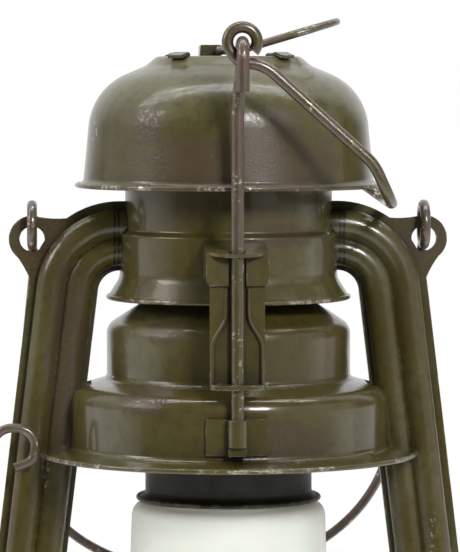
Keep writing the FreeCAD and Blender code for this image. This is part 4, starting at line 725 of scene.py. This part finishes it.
class LANTERN_OT_side_tubes(bpy.types.Operator):
    """Paint the four pressings of the side tubes and the lever's bracket"""

    bl_idname = "lantern.side_tubes"
    bl_label = "Side tubes"

    def execute(self, context):
        left = worn_paint(
            "Left tube paint", 7.0,
            patches=(
                ((-EAR_WEAR[0], EAR_WEAR[1], EAR_WEAR[2]), EAR_WEAR_SIZE),
                ((-0.0420, -0.006, 0.1950), (0.005, 0.012, 0.032)),
            ),
            chips=(((-0.0477, -0.007, 0.1655), (0.0010, 0.008, 0.005)),),
            seams=CROWN_SEAMS, brown=0.5, rub=0.5, edge=0.0008,
        )
        right = worn_paint(
            "Right tube paint", 8.0,
            patches=((EAR_WEAR, EAR_WEAR_SIZE),),
            chips=(((0.0530, -0.007, 0.1490), (0.0010, 0.008, 0.005)),),
            seams=CROWN_SEAMS, brown=0.45, rub=0.5, edge=0.0008,
        )
        dress(left, "left_tube_front", "left_tube_rear", "lever_bracket")
        dress(right, "right_tube_front", "right_tube_rear")
        return {"FINISHED"}


class LANTERN_OT_tank(bpy.types.Operator):
    """Paint the tank, its filler and the air drum"""

    bl_idname = "lantern.tank"
    bl_label = "Tank"

    def execute(self, context):
        finish = worn_paint("Tank paint", 9.0, rims=(FOOT_ROLL,), brown=0.4, rub=0.55)
        dress(finish, "fount_pan", "fount_shell", "air_drum", "filler_neck")
        dress(worn_paint("Filler cap paint", 10.0, brown=0.5, rub=0.7, edge=0.0007), "filler_cap")
        dress(rubber_ring("Seal rubber"), "filler_seal")
        return {"FINISHED"}


class LANTERN_OT_wires(bpy.types.Operator):
    """Age the lift rods, both bails, the hood ring and the globe's lever"""

    bl_idname = "lantern.wires"
    bl_label = "Wires"

    def execute(self, context):
        dress(aged_wire("Rod wire", 1.0, red_from=ROD_RED_FROM), "lift_rod_front", "lift_rod_rear")
        dress(aged_wire("Lift bail wire", 2.0, painted=0.5), "lift_bail")
        dress(aged_wire("Ring wire", 3.0), "hood_ring")
        dress(aged_wire("Carrying bail wire", 4.0), "carry_bail")
        dress(aged_wire("Lever wire", 5.0, painted=0.2), "globe_lever")
        return {"FINISHED"}


class LANTERN_OT_globe(bpy.types.Operator):
    """Frost the globe and finish its plate and gallery"""

    bl_idname = "lantern.globe"
    bl_label = "Globe"

    def execute(self, context):
        dress(frosted_glass("Frosted glass"), "globe")
        dress(black_sheet("Plate black", 2.0), "globe_plate", "globe_gallery")
        return {"FINISHED"}


class LANTERN_OT_burner(bpy.types.Operator):
    """Finish the brass burner and the wick's drive"""

    bl_idname = "lantern.burner"
    bl_label = "Burner"

    def execute(self, context):
        brass = dull_brass("Burner brass", 1.0)
        dress(brass, "burner_collar", "burner_body", "burner_cone", "wick_tube", "spindle_bush")
        dress(dull_brass("Knob brass", 2.0), "wick_knob", "wick_spindle", "spur_wheels")
        self.weave_wick()
        return {"FINISHED"}

    @staticmethod
    def weave_wick():
        """The wick: a flat woven tape with round edges, ribs along it and a burnt end."""
        low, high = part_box("wick")
        finish = woven_cotton("Wick cotton", high[2] - BURNT_LENGTH, high[2] - CHARRED_LENGTH)
        work = bmesh.new()
        half_width = (high[0] - low[0]) / 2.0
        half_thick = (high[1] - low[1]) / 2.0
        middle = ((high[0] + low[0]) / 2.0, (high[1] + low[1]) / 2.0)
        width_fit, thick_fit, rib_depth = 0.995, 0.99, 0.10
        edge_power, face_power = 0.5, 0.7
        around, rows = 64, 90
        rings = []
        draw = random.Random(5)
        for row in range(rows + 1):
            share = row / rows
            height = low[2] + (high[2] - low[2]) * share
            ring = []
            for step in range(around):
                turn = 2.0 * math.pi * step / around
                wide = math.copysign(abs(math.cos(turn)) ** edge_power, math.cos(turn))
                deep = math.copysign(abs(math.sin(turn)) ** face_power, math.sin(turn))
                ribs = 0.5 + 0.5 * math.cos(wide * half_width / RIB_PITCH * 2.0 * math.pi)
                across = middle[0] + wide * half_width * width_fit
                through = middle[1] + deep * half_thick * thick_fit * (1.0 - rib_depth * ribs)
                top = height
                if row == rows:
                    top = high[2] - FRAYED_LENGTH * draw.random()
                ring.append(work.verts.new((across, through, top)))
            rings.append(ring)
        skin_rings(work, rings)
        work.faces.new(list(reversed(rings[0])))
        work.faces.new(rings[-1])
        piece = new_piece("woven_wick", work, finish, "wick")
        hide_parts("wick")


# Floor, light and camera


class LANTERN_OT_stage(bpy.types.Operator):
    """Lay the pale floor and place the light and the camera"""

    bl_idname = "lantern.stage"
    bl_label = "Stage"

    def execute(self, context):
        self.floor()
        self.sky()
        for lamp in LAMPS:
            self.lamp(*lamp)
        self.camera()
        return {"FINISHED"}

    @staticmethod
    def floor():
        """A wide floor that takes the lantern's shadow and fades to plain white away from it."""
        tone = bpy.context.scene.lantern_stage.floor_tone
        work = bmesh.new()
        corners = ((-1.0, -1.0), (1.0, -1.0), (1.0, 1.0), (-1.0, 1.0))
        work.faces.new([work.verts.new((x * FLOOR_HALF, y * FLOOR_HALF, -FLOOR_DROP)) for x, y in corners])
        mesh = bpy.data.meshes.new("studio_floor")
        work.to_mesh(mesh)
        work.free()
        floor = bpy.data.objects.new("studio_floor", mesh)
        bpy.context.scene.collection.objects.link(floor)
        make = Recipe("Pale floor")
        away = make.span(make.radius, SHADOW_FADE[0], SHADOW_FADE[1])
        base = make.colour(away, (tone, tone, tone), BLACK)
        near = make.maths("SUBTRACT", 1.0, away)
        level = ray_level(make, make.y, FLOOR_BRIGHTENS)
        glow = make.maths("ADD", make.product(away, level), make.product(near, level, FLOOR_GLOW_NEAR))
        mesh.materials.append(make.finish(
            Base_Color=base, Roughness=1.0, Specular_IOR_Level=0.0,
            Emission_Color=WHITE, Emission_Strength=glow,
        ))

    @staticmethod
    def sky():
        """White for the camera. As a light and in reflections it is white behind and dim in front."""
        world = bpy.data.worlds.new("Studio")
        bpy.context.scene.world = world
        make = NodeSheet(world)
        way = make.add("ShaderNodeTexCoord").outputs["Generated"]
        axes = make.add("ShaderNodeSeparateXYZ", {"Vector": way}).outputs
        backward = make.maths("MULTIPLY_ADD", axes["Z"], SKY_LEAN, axes["Y"])
        level = ray_level(make, backward, SKY_BRIGHTENS)
        glow = make.add("ShaderNodeBackground", {"Color": (*WHITE, 1.0), "Strength": level})
        end = make.add("ShaderNodeOutputWorld")
        make.links.new(glow.outputs[0], end.inputs["Surface"])

    @staticmethod
    def lamp(name, place, size, glow, aim, shine):
        """A flat lamp that faces aim. A glow of 1 looks white, and shine shows it in reflections.

        WATTS_FOR_WHITE is its power for each square metre at a glow of 1.
        """
        data = bpy.data.lights.new(name, "AREA")
        data.shape = "RECTANGLE"
        data.size = size[0]
        data.size_y = size[1]
        data.energy = WATTS_FOR_WHITE * glow * size[0] * size[1]
        lamp = bpy.data.objects.new(name, data)
        lamp.location = place
        look = Vector(aim) - Vector(place)
        lamp.rotation_euler = look.to_track_quat("-Z", "Y").to_euler()
        lamp.visible_camera = False
        lamp.visible_glossy = shine
        bpy.context.scene.collection.objects.link(lamp)

    @staticmethod
    def camera():
        stage = bpy.context.scene.lantern_stage
        data = bpy.data.cameras.new("Photo camera")
        data.sensor_fit = "HORIZONTAL"
        data.sensor_width = SENSOR_WIDTH
        data.lens = stage.lens
        data.clip_start = 0.01
        data.clip_end = 50.0
        camera = bpy.data.objects.new("Photo camera", data)
        camera.location = stage.camera_place
        look = Vector(stage.camera_aim) - Vector(stage.camera_place)
        camera.rotation_euler = look.to_track_quat("-Z", "Y").to_euler()
        bpy.context.scene.collection.objects.link(camera)
        bpy.context.scene.camera = camera
        bpy.context.scene.view_settings.view_transform = "Standard"


def ray_level(make, backward, brightens):
    """1 for what the camera sees, also through glass. Other rays see dim in front and white behind.

    brightens gives the two values of backward between which it goes from dim to white.
    """
    path = make.add("ShaderNodeLightPath").outputs
    straight = make.most(path["Is Camera Ray"], path["Is Transmission Ray"])
    share = make.span(path["Is Glossy Ray"], 0.0, 1.0, DIFFUSE_SHARE, 1.0)
    around = make.span(backward, brightens[0], brightens[1], DIMMEST, 1.0)
    return make.most(straight, make.product(around, share))


class LANTERN_PT_pieces(bpy.types.Panel):
    """Lists the steps and the values"""

    bl_label = "Hurricane Lantern"
    bl_idname = "LANTERN_PT_pieces"
    bl_space_type = "VIEW_3D"
    bl_region_type = "UI"
    bl_category = "Lantern"

    def draw(self, context):
        layout = self.layout
        for step in STEPS:
            layout.operator(step.bl_idname)
        for group_name, group in GROUPS.items():
            box = layout.box()
            box.label(text=group.__doc__)
            values = getattr(context.scene, group_name)
            for name in group.__annotations__:
                box.prop(values, name)


GROUPS = {
    "lantern_paint": LanternPaint,
    "lantern_wire": LanternWire,
    "lantern_glass": LanternGlass,
    "lantern_stage": LanternStage,
}
STEPS = (
    LANTERN_OT_hood,
    LANTERN_OT_crown,
    LANTERN_OT_storm_cap,
    LANTERN_OT_side_tubes,
    LANTERN_OT_tank,
    LANTERN_OT_wires,
    LANTERN_OT_globe,
    LANTERN_OT_burner,
    LANTERN_OT_stage,
)


def register():
    for group_name, group in GROUPS.items():
        bpy.utils.register_class(group)
        setattr(bpy.types.Scene, group_name, bpy.props.PointerProperty(type=group))
    for step in STEPS:
        bpy.utils.register_class(step)
    bpy.utils.register_class(LANTERN_PT_pieces)


def unregister():
    bpy.utils.unregister_class(LANTERN_PT_pieces)
    for step in reversed(STEPS):
        bpy.utils.unregister_class(step)
    for group_name, group in GROUPS.items():
        delattr(bpy.types.Scene, group_name)
        bpy.utils.unregister_class(group)


def main():
    """Registers the classes and runs every step."""
    register()
    bpy.ops.lantern.hood()
    bpy.ops.lantern.crown()
    bpy.ops.lantern.storm_cap()
    bpy.ops.lantern.side_tubes()
    bpy.ops.lantern.tank()
    bpy.ops.lantern.wires()
    bpy.ops.lantern.globe()
    bpy.ops.lantern.burner()
    bpy.ops.lantern.stage()


if __name__ == "__main__":
    main()
